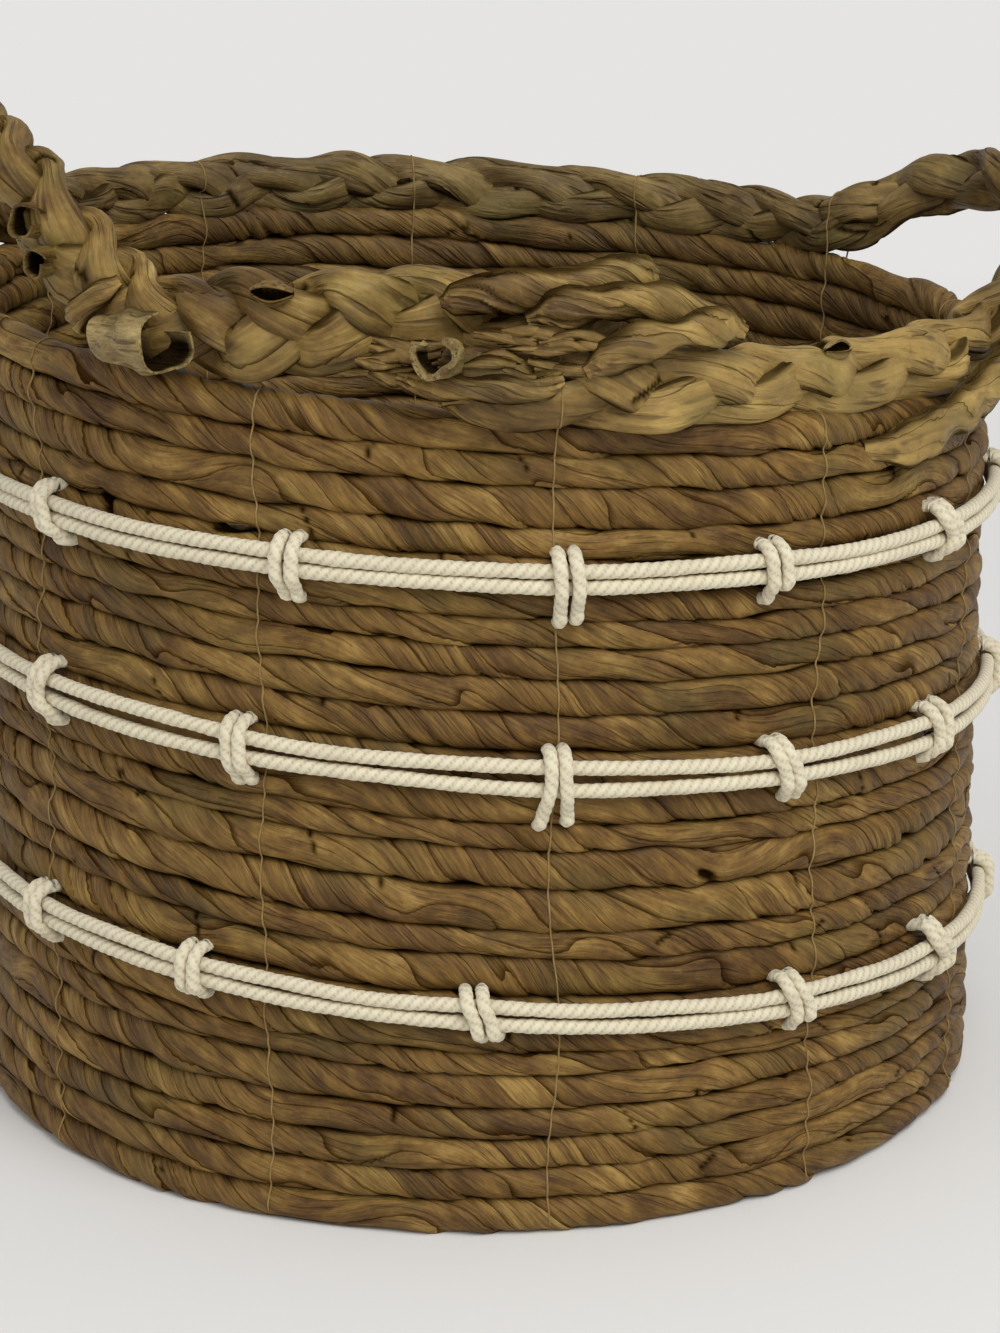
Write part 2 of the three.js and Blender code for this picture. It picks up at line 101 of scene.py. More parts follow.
def sideways(azimuth):
    angle = np.radians(azimuth)
    return np.stack([np.cos(angle), np.sin(angle), np.zeros_like(angle)], axis=-1)


def place_at(radius, azimuth, height):
    return outward(azimuth) * np.asarray(radius)[..., None] + np.asarray(height)[..., None] * UP


def unit(vectors):
    return vectors / np.linalg.norm(vectors, axis=-1, keepdims=True)


def smoothstep(x, low, high):
    share = np.clip((x - low) / (high - low), 0, 1)
    return share * share * (3 - 2 * share)


WAVES = 6  # sines added up for one wandering value


def wander(along, span, seed):
    """A smooth random value of about -1 to 1 that changes over distances of about span."""
    chance = np.random.default_rng(seed)
    total = np.zeros_like(along)
    for wave in range(WAVES):
        length = span * chance.uniform(0.7, 2.2)
        total += np.sin(2 * np.pi * (along / length + chance.random()))
    return total / math.sqrt(WAVES)


def crumple(angle, along, lobes, span, seed):
    """The same over a surface: angle goes round a rope and closes on itself, along runs along it."""
    chance = np.random.default_rng(seed)
    total = np.zeros_like(angle)
    for wave in range(2 * WAVES):
        count = chance.integers(1, lobes + 1)
        length = span * chance.uniform(0.7, 3) * chance.choice((-1, 1))
        total += np.sin(count * angle + 2 * np.pi * (along[:, None] / length + chance.random()))
    return total / math.sqrt(2 * WAVES)


# %% [markdown]
# ## Tubes
# A rope, a strand and a cord are all a section carried along a route. bpy.ops has no tool that twists
# leaf strips round each other, so the tube is made in mesh code: a ring of points at each step, and
# faces between the rings. Each tube also carries its own coordinates. The UV map counts the strips
# round the tube and the metres along it, and follows the twist. The attribute "lay" holds the place
# that a point would have if the rope were untwisted and laid out straight, so that a fibre in the
# material runs along its leaf.

# %% A mesh from rings
SHARP_EDGE = math.radians(55)  # past which an edge isn't shaded round


def tube(name, rings, along, angle, strips, extras):
    """rings: (steps, sides, 3). angle: (steps, sides), each point's place round the untwisted rope."""
    steps, sides = rings.shape[:2]
    first = np.arange(steps - 1)[:, None] * sides
    side = np.arange(sides)[None, :]
    beside = (side + 1) % sides
    walls = np.stack([first + side, first + beside, first + sides + beside, first + sides + side], axis=-1)
    half = np.arange(sides // 2 - 1)
    cap = np.stack([half, half + 1, sides - 2 - half, sides - 1 - half], axis=-1)
    faces = np.concatenate([walls.reshape(-1, 4), cap[:, ::-1], cap + (steps - 1) * sides])
    mesh = bpy.data.meshes.new(name)
    mesh.from_pydata(rings.reshape(-1, 3), [], faces)
    mesh.polygons.foreach_set("use_smooth", np.ones(len(faces), dtype=bool))

    around = np.concatenate([angle, angle[:, :1] + 2 * np.pi], axis=1) * strips / (2 * np.pi)
    metres = np.broadcast_to(along[:, None], around.shape)
    flat = np.stack([around, metres], axis=-1)
    corners = np.stack([flat[:-1, :-1], flat[:-1, 1:], flat[1:, 1:], flat[1:, :-1]], axis=2).reshape(-1, 2)
    whole = np.full((len(faces) * 4, 2), 0.5)  # the end caps lie in the middle of a strip
    whole[: len(corners)] = corners
    mesh.uv_layers.new(name="twist").data.foreach_set("uv", whole.ravel())

    for label, values in extras.items():
        form, field = ("FLOAT_VECTOR", "vector") if values.ndim == 3 else ("FLOAT", "value")
        mesh.attributes.new(label, form, "POINT").data.foreach_set(field, values.ravel().astype(np.float32))
    mesh.set_sharp_from_angle(angle=SHARP_EDGE)
    mesh.validate()
    piece = bpy.data.objects.new(name, mesh)
    bpy.context.collection.objects.link(piece)
    return piece


# %% [markdown]
# ## Twisting a rope of leaf
# A leaf rope is a few broad strips wound round each other. Each strip lies over the edge of the next
# one, like a shingle, and the overlapping edge is what the eye sees: a slanting line with a small
# step. The strips are uneven, so the lines wander, and the leaf creases as it dries. All of that is
# worked out in the untwisted rope, as a height that is added to its round section.

# %% The skin of a twisted rope


def leaf_section(angles, half_wide, half_high, fullness):
    """A rounded section: an ellipse, slightly squared where its neighbours press on it."""
    cos, sin = np.cos(angles), np.sin(angles)
    x = half_wide[:, None] * np.sign(cos) * np.abs(cos) ** (2 / fullness)
    z = half_high[:, None] * np.sign(sin) * np.abs(sin) ** (2 / fullness)
    return x, z


def leaf_relief(angle, along, twist, seed):
    """Height of the strips, creases and lumps over the smooth rope, in metres, and the strip coordinate."""
    span = twist["span"]
    shift = wander(along, span, seed) * 1.1
    other = wander(along, span, seed + 1) * 1.1
    uneven = 0.55 * np.sin(angle + shift[:, None]) + 0.3 * np.sin(2 * angle + other[:, None])
    strip_angle = angle + uneven * twist["uneven"]
    share = (strip_angle * twist["strips"] / (2 * np.pi)) % 1
    step = twist["edge"] * np.maximum(0.7 + 0.6 * wander(along, span, seed + 2)[:, None], 0.1)
    shingle = (share - 0.5) * step + np.sin(np.pi * share) * step * 0.6
    shrunk = 0.25 + smoothstep(wander(along, twist["shrunk_span"], seed + 5), -0.2, 0.9)[:, None]
    folds = np.abs(crumple(strip_angle, along, twist["folds"], span, seed + 3))
    crease = np.minimum(folds, 0.7) * twist["crease"] * shrunk
    lump = crumple(angle, along, 2, twist["lump_span"], seed + 4) * twist["lump"]
    return shingle + crease + lump, strip_angle


CRACK_REACH = 9 * MM  # along the rope, past which a crack isn't looked for


def cracks(angle, along, twist, seed):
    """0 to 1 where a strip has split across or has ended: a thin line of painted shade part of the way
    round.
    """
    chance = np.random.default_rng(seed)
    dark = np.zeros_like(angle)
    place = 0.0
    while place < along[-1]:
        place += chance.uniform(0.4, 1.6) * twist["crack_every"]
        middle, half = chance.uniform(0, 2 * np.pi), chance.uniform(0.4, 1.1)
        slant = chance.uniform(-4, 4) * MM
        rows = np.abs(along - place) < CRACK_REACH
        if not rows.any():
            continue
        away = (angle[rows] - middle + np.pi) % (2 * np.pi) - np.pi
        across = np.abs(along[rows][:, None] - place - slant * np.sin(away * 1.7))
        line = 1 - smoothstep(across, 0.25 * twist["crack_width"], twist["crack_width"])
        dark[rows] = np.maximum(dark[rows], line * (1 - smoothstep(np.abs(away), half * 0.7, half)))
    return dark


PIT_REACH = 8 * MM  # in and out from the wall's face, past which a fold doesn't reach
PIT_DEPTH = 2.6 * MM


def pits(rings, folds):
    """0 to 1 inside the open folds, which sink in and get painted shade: each is a place on the wall, a
    slant and two half sizes.
    """
    dark = np.zeros(rings.shape[:2])
    for fold in folds:
        azimuth = np.array(float(fold["azimuth"]))
        local = rings - place_at(WALL_RADIUS, azimuth, fold["height"])
        aside, rise = local @ sideways(azimuth), local[..., 2]
        slant = math.radians(fold["slant"])
        long = (aside * math.cos(slant) + rise * math.sin(slant)) / fold["half_long"]
        short = (rise * math.cos(slant) - aside * math.sin(slant)) / fold["half_short"]
        outer = np.abs(local @ outward(azimuth)) < PIT_REACH
        dark = np.maximum(dark, np.exp(-(long**2) - short**2) * outer)
    return dark


# painted shade darkens each seam, fully where a place faces its neighbour this squarely
SEAM_FULL = 0.985  # how squarely a place faces its neighbour, at most 1, where its seam is fully dark


def twisted_tube(name, centres, outs, ups, half_wide, half_high, along, twist, seed, bare=None):
    """bare: for each step, 1 where nothing lies on its top or outer side, so that it gets no painted seam
    shade there.
    """
    angles = twist["angles"]
    turned = along / twist["lay"] + twist["uneven_lay"] * wander(along, 90 * MM, seed + 8)
    angle = angles[None, :] + twist["hand"] * 2 * np.pi * turned[:, None]
    x, z = leaf_section(np.broadcast_to(angles, angle.shape), half_wide, half_high, twist["fullness"])
    relief, strip_angle = leaf_relief(angle, along, twist, seed)
    # painted shade along the cracks, which also sink in a little
    split = cracks(angle, along, twist, seed + 6)
    smooth = centres[:, None] + outs[:, None] * x[..., None] + ups[:, None] * z[..., None]
    # the open folds sink in, and their inside gets painted shade
    hollow = pits(smooth, twist["pits"])
    relief = relief - split * twist["crack_depth"] - hollow * PIT_DEPTH
    reach = 1 + relief / np.hypot(x, z)
    rings = centres[:, None] + outs[:, None] * (x * reach)[..., None] + ups[:, None] * (z * reach)[..., None]
    rings[..., 2] = np.maximum(rings[..., 2], 0)  # pressed flat where the basket stands
    size = np.minimum(half_wide, half_high)[:, None]
    lay = np.stack([np.cos(angle) * size, np.sin(angle) * size, angle * 0 + along[:, None]], axis=-1)
    # painted shade in the seams, where the section faces a neighbour; none where nothing lies on it
    pressed = np.sin(angles + math.radians(twist["seam_turn"]))[None, :]
    seam = smoothstep(np.abs(pressed), twist["seam_from"], SEAM_FULL) * twist["seam"]
    if bare is not None:
        seam = seam * (1 - bare[:, None] * (pressed > 0))
    # all of it painted shade: in the seams, along the cracks and inside the open folds
    dark = np.maximum(np.maximum(seam, split), smoothstep(hollow, 0.25, 0.6))
    return tube(name, rings, along, strip_angle, twist["strips"], {"lay": lay, "dark": dark})


# %% [markdown]
# ## The route up the wall
# The rope gains one course in each turn, and its seams with the courses below and above are shared
# lines: where one course is thick, its neighbours give way. So the uneven thickness is put into the
# seams, not the ropes. The 25 courses at the front have the thicknesses that the photographed ones
# have there. Away from the front the seams wander by chance.

# %% Seams between the courses
FRONT_COURSES_MM = [
    9.4, 9.5, 8.2, 9.4, 10.5, 6, 8.1, 8.3, 11.4, 7.4, 12.1, 11.1, 7,
    10, 10, 10.2, 9.5, 8.7, 7.5, 8, 8.3, 8.2, 10.8, 8.6, 8.6,
]  # from the floor up, measured at the middle of the front
FRONT_WIDTH = 62  # degrees each way over which these hold
SEAM_WANDER = 0.85 * MM
SEAM_RIPPLE = 0.32 * MM
COURSE_OVERLAP = 0.18 * MM  # the soft courses press into each other, so that no light comes through
LEAST_HALF = 2.4 * MM  # of a course's height
EVEN_WIDTH = 0.55  # the share of a course's width that stays the same where its height changes
FACE_SINK = 0.3 * MM  # of the rope's face behind that of the construction, on average
FACE_WANDER = 0.45 * MM


def courses_climbed(turns):
    part = turns - np.floor(turns)
    swing = np.where(part < 0.5, (1 - np.cos(2 * np.pi * part)) / 2, 1)
    jog = np.sqrt(1 - (1 - swing) ** 2) - part
    return turns + jog * np.clip(1 - (turns - 1) / JOG_TURNS, 0, 1)


def lean_at(azimuth, rise):
    return rise * np.cos(np.radians(azimuth - LEAN_AZIMUTH))


def level_of(courses):
    low = FLOOR_COURSE + (SECOND_COURSE - FLOOR_COURSE) * courses
    return np.where(courses < 1, low, SECOND_COURSE + (courses - 1) * COURSE_PITCH)


def azimuth_of(turns):
    return CLIMB_AZIMUTH - FULL_TURN * turns


def course_height(turns):
    courses = courses_climbed(turns)
    lean = lean_at(azimuth_of(turns), LEAN_RISE) * np.clip((courses - 1) / LEAN_COURSES, 0, 1)
    return level_of(courses) + lean


FRONT_TURNS = (CLIMB_AZIMUTH % FULL_TURN) / FULL_TURN  # part of a turn at which the rope passes the front
front_seams = np.cumsum(np.array(FRONT_COURSES_MM) * MM)


def seam_height(turns):
    """The line on which the course at these turns meets the one above it."""
    middle = (course_height(turns) + course_height(turns + 1)) / 2
    course = np.round(turns - FRONT_TURNS)
    known = np.clip(course.astype(int) + 1, 0, len(front_seams) - 1)
    at_front = course + FRONT_TURNS
    even = (course_height(at_front) + course_height(at_front + 1)) / 2
    past = np.abs(turns - at_front) * FULL_TURN
    window = 1 - smoothstep(past, FRONT_WIDTH / 2, FRONT_WIDTH * 1.6)
    metres = turns * 2 * np.pi * WALL_RADIUS
    chance = wander(metres, 110 * MM, 11) * SEAM_WANDER
    ripple = wander(metres, 34 * MM, 12) * SEAM_RIPPLE
    settled = smoothstep(turns, 1, 3) * (1 - smoothstep(turns, WALL_TURNS - 1.2, WALL_TURNS - 0.6))
    return middle + settled * (window * (front_seams[known] - even) + (1 - window) * chance + ripple)


def wall_route(turns):
    """Centres, directions and half sizes of the wall rope."""
    here = course_height(turns)
    below = np.where(turns < 1, here - COURSE_PITCH / 2, seam_height(np.maximum(turns - 1, 0)))
    above = np.where(turns > WALL_TURNS - 1, here + COURSE_PITCH / 2, seam_height(turns))
    half_high = np.maximum((above - below) / 2, LEAST_HALF) + COURSE_OVERLAP
    metres = turns * 2 * np.pi * WALL_RADIUS
    half_wide = EVEN_WIDTH * COURSE_HALF + (1 - EVEN_WIDTH) * half_high
    face = WALL_RADIUS - FACE_SINK + wander(metres, 60 * MM, 13) * FACE_WANDER
    azimuth = azimuth_of(turns)
    centres = place_at(face - half_wide, azimuth, (above + below) / 2)
    return centres, outward(azimuth), np.broadcast_to(UP, centres.shape), half_wide, half_high


def rope_angles(outer, inner):
    """Places round the section, close together where it shows, with its top and bottom left open."""
    shown = np.radians(np.linspace(-82, 82, outer))
    inside = np.radians(np.linspace(102, 258, inner))
    return np.concatenate([shown, inside])


# open folds in the wall: the rope sinks in there, and their inside gets painted shade
OPEN_FOLDS = [
    {"azimuth": -40.7, "height": 195.5 * MM, "slant": -60, "half_long": 5 * MM, "half_short": 1.5 * MM},
    {"azimuth": -25.5, "height": 194.3 * MM, "slant": 3, "half_long": 5.5 * MM, "half_short": 1.2 * MM},
    {"azimuth": 24.6, "height": 98.6 * MM, "slant": -35, "half_long": 4.5 * MM, "half_short": 1.6 * MM},
]
WALL_TWIST = {
    "strips": 3, "lay": 54 * MM, "uneven_lay": 0.3, "hand": -1, "fullness": 2.2,
    "seam": 1.0, "seam_turn": 0, "seam_from": 0.72,
    "edge": 0.85 * MM, "crease": 0.5 * MM, "folds": 7, "lump": 0.3 * MM, "lump_span": 26 * MM,
    "span": 50 * MM, "shrunk_span": 80 * MM, "uneven": 0.85, "angles": rope_angles(17, 11),
    "crack_every": 80 * MM, "crack_width": 0.9 * MM, "crack_depth": 0.4 * MM, "pits": OPEN_FOLDS,
}
WALL_STEP = 1.35 * MM
PIECES_PER_ROPE = 3

wall_pieces = {}


def wind_wall(node, first, last):
    bounds = np.linspace(first, last, PIECES_PER_ROPE + 1)
    for index in range(PIECES_PER_ROPE):
        length = (bounds[index + 1] - bounds[index]) * 2 * np.pi * WALL_RADIUS
        turns = np.linspace(bounds[index], bounds[index + 1], int(length / WALL_STEP))
        along = turns * 2 * np.pi * WALL_RADIUS
        name = f"{node}_skin_{index + 1}"
        bare = smoothstep(turns, WALL_TURNS - 1.02, WALL_TURNS - 0.98)
        piece = twisted_tube(name, *wall_route(turns), along, WALL_TWIST, 20, bare)
        wall_pieces[name] = (piece, node)
        print(name, "triangles:", 2 * len(piece.data.polygons))


wind_wall("wall_rope_lower", MID_STEP, SPLICE_TURNS + MID_STEP)
wind_wall("wall_rope_upper", SPLICE_TURNS + MID_STEP, WALL_TURNS + MID_STEP)

# %% [markdown]
# ## The base
# The base is the start of the same rope, wound flat. Half circles whose centres take turns make a
# spiral in which each turn lies exactly beside the last. Where the basket stands, the rope is pressed
# flat.

# %% Winding the base
TAPER_TURNS = 1.5  # over which the rope grows to its full height
TAPER_START = 0.6
START_ANGLES = np.linspace(0.3, np.pi / 2, 6, endpoint=False)  # of the round tip in the middle
BASE_STEP = 2.1 * MM
BASE_OVERLAP = 0.15 * MM  # of each turn into the next, so that no light comes through
BASE_SIDES = 26
BASE_TWIST = dict(WALL_TWIST, angles=np.arange(BASE_SIDES) * 2 * np.pi / BASE_SIDES, pits=[], seam_turn=90)


def base_route():
    turns_per_step = []
    turns = 0.0
    while turns < BASE_TURNS + MID_STEP:
        turns_per_step.append(turns)
        turns += BASE_STEP / (2 * np.pi * BASE_PITCH * (turns + 0.5))
    turns = np.array(turns_per_step + [BASE_TURNS + MID_STEP])
    half_turn = np.minimum(np.floor(turns * 2), 2 * BASE_TURNS - 1)  # the last one is the wall's circle
    azimuth = CLIMB_AZIMUTH - turns * FULL_TURN
    growth = TAPER_START + (1 - TAPER_START) * np.clip(turns / TAPER_TURNS, 0, 1)
    half = np.full_like(turns, BASE_HALF + BASE_OVERLAP)
    high = BASE_TOP / 2 * growth
    centres = place_at((half_turn + 1) * BASE_PITCH / 2, azimuth, high)
    swing = outward(np.array(float(CLIMB_AZIMUTH + HALF_TURN))) * BASE_PITCH / 2
    centres = centres + np.where(half_turn % 2 == 0, 1, 0)[:, None] * swing
    tip = centres[0] + sideways(azimuth[:1]) * (BASE_HALF * np.cos(START_ANGLES))[:, None]
    centres = np.concatenate([tip, centres])
    azimuth = np.concatenate([np.full(len(tip), azimuth[0]), azimuth])
    half = np.concatenate([BASE_HALF * np.sin(START_ANGLES), half])
    high = np.concatenate([np.full(len(tip), high[0]), high])
    turns = np.concatenate([np.zeros(len(tip)), turns])
    along = np.concatenate([[0], np.cumsum(np.linalg.norm(np.diff(centres, axis=0), axis=1))])
    return turns, (centres, outward(azimuth), np.broadcast_to(UP, centres.shape), half, high, along)


base_turns, base_rings = base_route()
outermost = smoothstep(base_turns, BASE_TURNS - 1.02, BASE_TURNS - 0.98)
base = twisted_tube("base_rope_skin", *base_rings, BASE_TWIST, 40, outermost)
print("base rope triangles:", 2 * len(base.data.polygons))

# %% [markdown]
# ## The plait on the rim
# Three strands swing from side to side, each a third of a cycle after the last, and twice as often in
# and out. That is all a plait is. The real strands are flat bundles of broad leaf, so their sections
# are wide and low, they lie flat on the plait's face, and they pinch where they turn back at its
# edges.

# %% The plait's middle line, as in the construction
STRAND_COUNT = 3
PLAIT_START_AZIMUTH = 17
LAP_ANGLE = 20
LAP_EASE = 18
LAP_LIFT = 13 * MM
LIFT_EASE = 34
PLAIT_END_AZIMUTH = PLAIT_START_AZIMUTH - FULL_TURN - LAP_ANGLE
PLAIT_HALF_HEIGHT = 10.7 * MM
PLAIT_HALF_DEPTH = 6.9 * MM
PLAIT_RADIUS = WALL_RADIUS - COURSE_HALF / math.cos(math.pi / ROPE_SIDES / 2)
LAP_SHIFT = PLAIT_HALF_DEPTH + SEAT_GAP
FOOT_SOFTNESS = 10 * MM
HANDLES = [
    {"azimuth": -71.5, "half_span": 32.5, "rise": 38.5 * MM, "fullness": 2.6, "splay": 3.7 * MM},
    {"azimuth": 98.5, "half_span": 26.5, "rise": 21 * MM, "fullness": 3, "splay": 22 * MM},
]


def turns_at(azimuth, course):
    return ((CLIMB_AZIMUTH - azimuth) % FULL_TURN) / FULL_TURN + course


def top_of_wall(azimuth):
    part = turns_at(azimuth, 0)
    turns = part + np.floor(WALL_TURNS - part)
    here = course_height(turns)
    below = here - course_height(turns - 1)
    return here + (np.minimum(below, COURSE_PITCH) - TURN_GAP) / 2


def seat_of_plait(azimuth):
    right = HANDLES[1]
    low = FULL_TURN - right["azimuth"] - right["half_span"]
    high = FULL_TURN - right["azimuth"] + right["half_span"]
    across = smoothstep(-azimuth, low, high)
    far = top_of_wall(np.array(-low))
    near = top_of_wall(np.array(-high))
    bridged = far + (near - far) * across
    return np.where((across > 0) & (across < 1), bridged, top_of_wall(azimuth))


def handle_lift(handle, azimuth):
    past = np.abs((azimuth - handle["azimuth"] + HALF_TURN) % FULL_TURN - HALF_TURN)
    arch = handle["rise"] * (1 - (past / handle["half_span"]) ** handle["fullness"])
    return (arch + np.hypot(arch, FOOT_SOFTNESS)) / 2


def plait_centre(azimuth):
    on_top = 1 - smoothstep(PLAIT_START_AZIMUTH - azimuth, LAP_ANGLE, LAP_ANGLE + LAP_EASE)
    below = 1 - smoothstep(azimuth - PLAIT_END_AZIMUTH, LAP_ANGLE, LAP_ANGLE + LAP_EASE)
    climbed = 1 - smoothstep(PLAIT_START_AZIMUTH - azimuth, LAP_ANGLE, LAP_ANGLE + LIFT_EASE)
    radius = PLAIT_RADIUS + LAP_SHIFT * (below - on_top)
    height = seat_of_plait(azimuth) + SEAT_GAP + PLAIT_HALF_HEIGHT + LAP_LIFT * climbed
    for handle in HANDLES:
        lift = handle_lift(handle, azimuth)
        radius = radius + handle["splay"] * lift / handle["rise"]
        height = height + lift
    return place_at(radius, azimuth, height)


# %% Three strands of flat leaf
# For an azimuth, from the plait's far end back to its start: the length of its cycle, how far its edge is
# from its middle line, half the width of a strand, and how far the strands swing in and out, all in mm
PLAIT_BUILD = {
    -363: (104, 11.2, 6.2, 3.4),
    -300: (104, 10.8, 6.0, 3.4),
    -286: (84, 10.0, 5.6, 3.4),
    -236: (84, 9.6, 5.4, 3.2),
    -222: (92, 10.2, 5.6, 2.6),
    -120: (92, 10.2, 5.6, 2.6),
    -100: (60, 11.5, 6.2, 4.2),
    -62: (56, 13.0, 6.8, 4.4),
    -42: (58, 13.6, 7.0, 4.6),
    -32: (60, 14.4, 7.2, 4.6),
    -8: (64, 14.0, 7.0, 4.4),
    4: (64, 12.0, 6.0, 4.0),
    17: (64, 9.0, 4.6, 3.4),
}
STRAND_HALF_THICKNESS = 2.8 * MM
SEAT_SINK = 2.4 * MM  # how far the strands press into the course that they lie on
STRAND_STEP = 0.95 * MM
STRAND_FOLDS = [  # under the rolled leaves that stand open on the plait
    {"azimuth": -19.4, "height": 258.5 * MM, "slant": 0, "half_long": 5.5 * MM, "half_short": 2.4 * MM},
    {"azimuth": 39.2, "height": 237.8 * MM, "slant": -10, "half_long": 4.5 * MM, "half_short": 1.8 * MM},
]
# the strands get painted shade along their edges, where they meet each other
STRAND_TWIST = {
    "strips": 2, "lay": 190 * MM, "uneven_lay": 0.05, "hand": -1, "fullness": 2.25,
    "seam": 0.85, "seam_turn": 0, "seam_from": 0.84,
    "edge": 0.9 * MM, "crease": 0.65 * MM, "folds": 7, "lump": 0.35 * MM, "lump_span": 22 * MM,
    "span": 34 * MM, "shrunk_span": 45 * MM, "uneven": 0.85, "angles": np.arange(44) * 2 * np.pi / 44,
    "crack_every": 48 * MM, "crack_width": 1.3 * MM, "crack_depth": 0.5 * MM, "pits": STRAND_FOLDS,
}
fine = np.linspace(PLAIT_START_AZIMUTH, PLAIT_END_AZIMUTH, 12000)
walked = np.concatenate([[0], np.cumsum(np.linalg.norm(np.diff(plait_centre(fine), axis=0), axis=1))])
plait_length = walked[-1]
columns = zip(*PLAIT_BUILD.values())
cycle_here, *section_here = [np.interp(fine, list(PLAIT_BUILD), column) * MM for column in columns]
cycles_done = np.concatenate([[0], np.cumsum(np.diff(walked) / cycle_here[1:])])
print("plait length, m:", round(float(plait_length), 3), "cycles:", round(float(cycles_done[-1]), 1))


def strand_route(index):
    along = np.linspace(0, plait_length, int(plait_length / STRAND_STEP))
    azimuth = np.interp(along, walked, fine)
    middle = plait_centre(azimuth)
    out = outward(azimuth)
    up = unit(np.cross(out, unit(np.gradient(middle, axis=0)) * -1))
    reach, broad, depth = (np.interp(along, walked, here) for here in section_here)
    above_seat = middle[:, 2] - seat_of_plait(azimuth) - PLAIT_HALF_HEIGHT
    seated = 1 - smoothstep(above_seat, 1 * MM, 6 * MM)
    middle = middle - up * (seated * (PLAIT_HALF_HEIGHT - reach + SEAT_SINK))[:, None]
    phase = math.pi / 6 + 2 * math.pi * index / STRAND_COUNT
    uneven = 0.3 * wander(along, 90 * MM, 60 + index)
    angle = 2 * np.pi * np.interp(along, walked, cycles_done) + phase + uneven
    sway = (reach - broad) * (1 + 0.1 * wander(along, 70 * MM, 63 + index))
    route = middle + up * (sway * np.sin(angle))[:, None] + out * (depth * np.sin(2 * angle))[:, None]
    ahead = unit(np.gradient(route, axis=0))
    face = unit(out - ahead * np.sum(out * ahead, axis=1, keepdims=True))
    across = np.cross(ahead, face)
    roll = (0.22 * wander(along, 40 * MM, 72 + index) + 0.2 * np.cos(angle))[:, None]
    face, across = face * np.cos(roll) + across * np.sin(roll), across * np.cos(roll) - face * np.sin(roll)
    turning = np.abs(np.sin(angle)) ** 3
    at_end = 0.55 + 0.45 * smoothstep(np.minimum(along, plait_length - along), 0, 9 * MM)
    wide = broad * (1.08 - 0.26 * turning) * (1 + 0.13 * wander(along, 30 * MM, 66 + index)) * at_end
    thick = STRAND_HALF_THICKNESS * (1 + 0.2 * turning)
    thick = thick * (1 + 0.1 * wander(along, 26 * MM, 69 + index)) * at_end
    open_above = smoothstep(np.sin(angle), 0.2, 0.75)
    return (route, face, across, thick, wide, along), open_above


strand_pieces = []
for index in range(STRAND_COUNT):
    strand_rings, open_above = strand_route(index)
    name = f"rim_strand_{index + 1}_skin"
    strand = twisted_tube(name, *strand_rings, STRAND_TWIST, 80 + 10 * index, open_above)
    strand_pieces.append(strand)
    print(strand.name, "triangles:", 2 * len(strand.data.polygons))

# %% Routes through a few points


def even_route(points, step):
    """The same route with a point at each step."""
    lengths = np.concatenate([[0], np.cumsum(np.linalg.norm(np.diff(points, axis=0), axis=1))])
    along = np.linspace(0, lengths[-1], max(int(lengths[-1] / step), 4))
    return np.stack([np.interp(along, lengths, points[:, axis]) for axis in range(3)], axis=1), along


def smooth_route(corners, count):
    """A Catmull-Rom curve through a few corners."""
    corners = np.asarray(corners)
    padded = np.concatenate([[2 * corners[0] - corners[1]], corners, [2 * corners[-1] - corners[-2]]])
    points = []
    for index in range(len(corners) - 1):
        a, b, c, d = padded[index:index + 4]
        share = np.linspace(0, 1, count, endpoint=index == len(corners) - 2)[:, None]
        curve = 2 * b + (c - a) * share + (2 * a - 5 * b + 4 * c - d) * share**2
        points.append((curve + (3 * b - a - 3 * c + d) * share**3) / 2)
    return np.concatenate(points)


# %% [markdown]
# ## Open folds and loose ends
# A broad leaf doesn't close up round its strand everywhere. In places it stands open like a scroll,
# pale on its thin rim and with painted shade inside, and at the lap the strands come to their ends and
# the leaf between them crumples. A scroll is a sheet rolled round a line, so it is again a tube along
# a line, whose section is the sheet seen from its edge. A loose end is a short strand with a route of
# its own.

# %% A rolled leaf
ROLL_STEPS = 16
ROLL_POINTS = 24
# the inside of a scroll gets painted shade, starting this far in from an open end
ROLL_RIM = (0.2 * MM, 2.2 * MM)  # in from an open end, where the pale rim ends and where all is dark


def spot(radius, azimuth, height):
    """A place from a radius and a height in mm and an azimuth."""
    return place_at(np.array(radius * MM), np.array(float(azimuth)), np.array(height * MM))


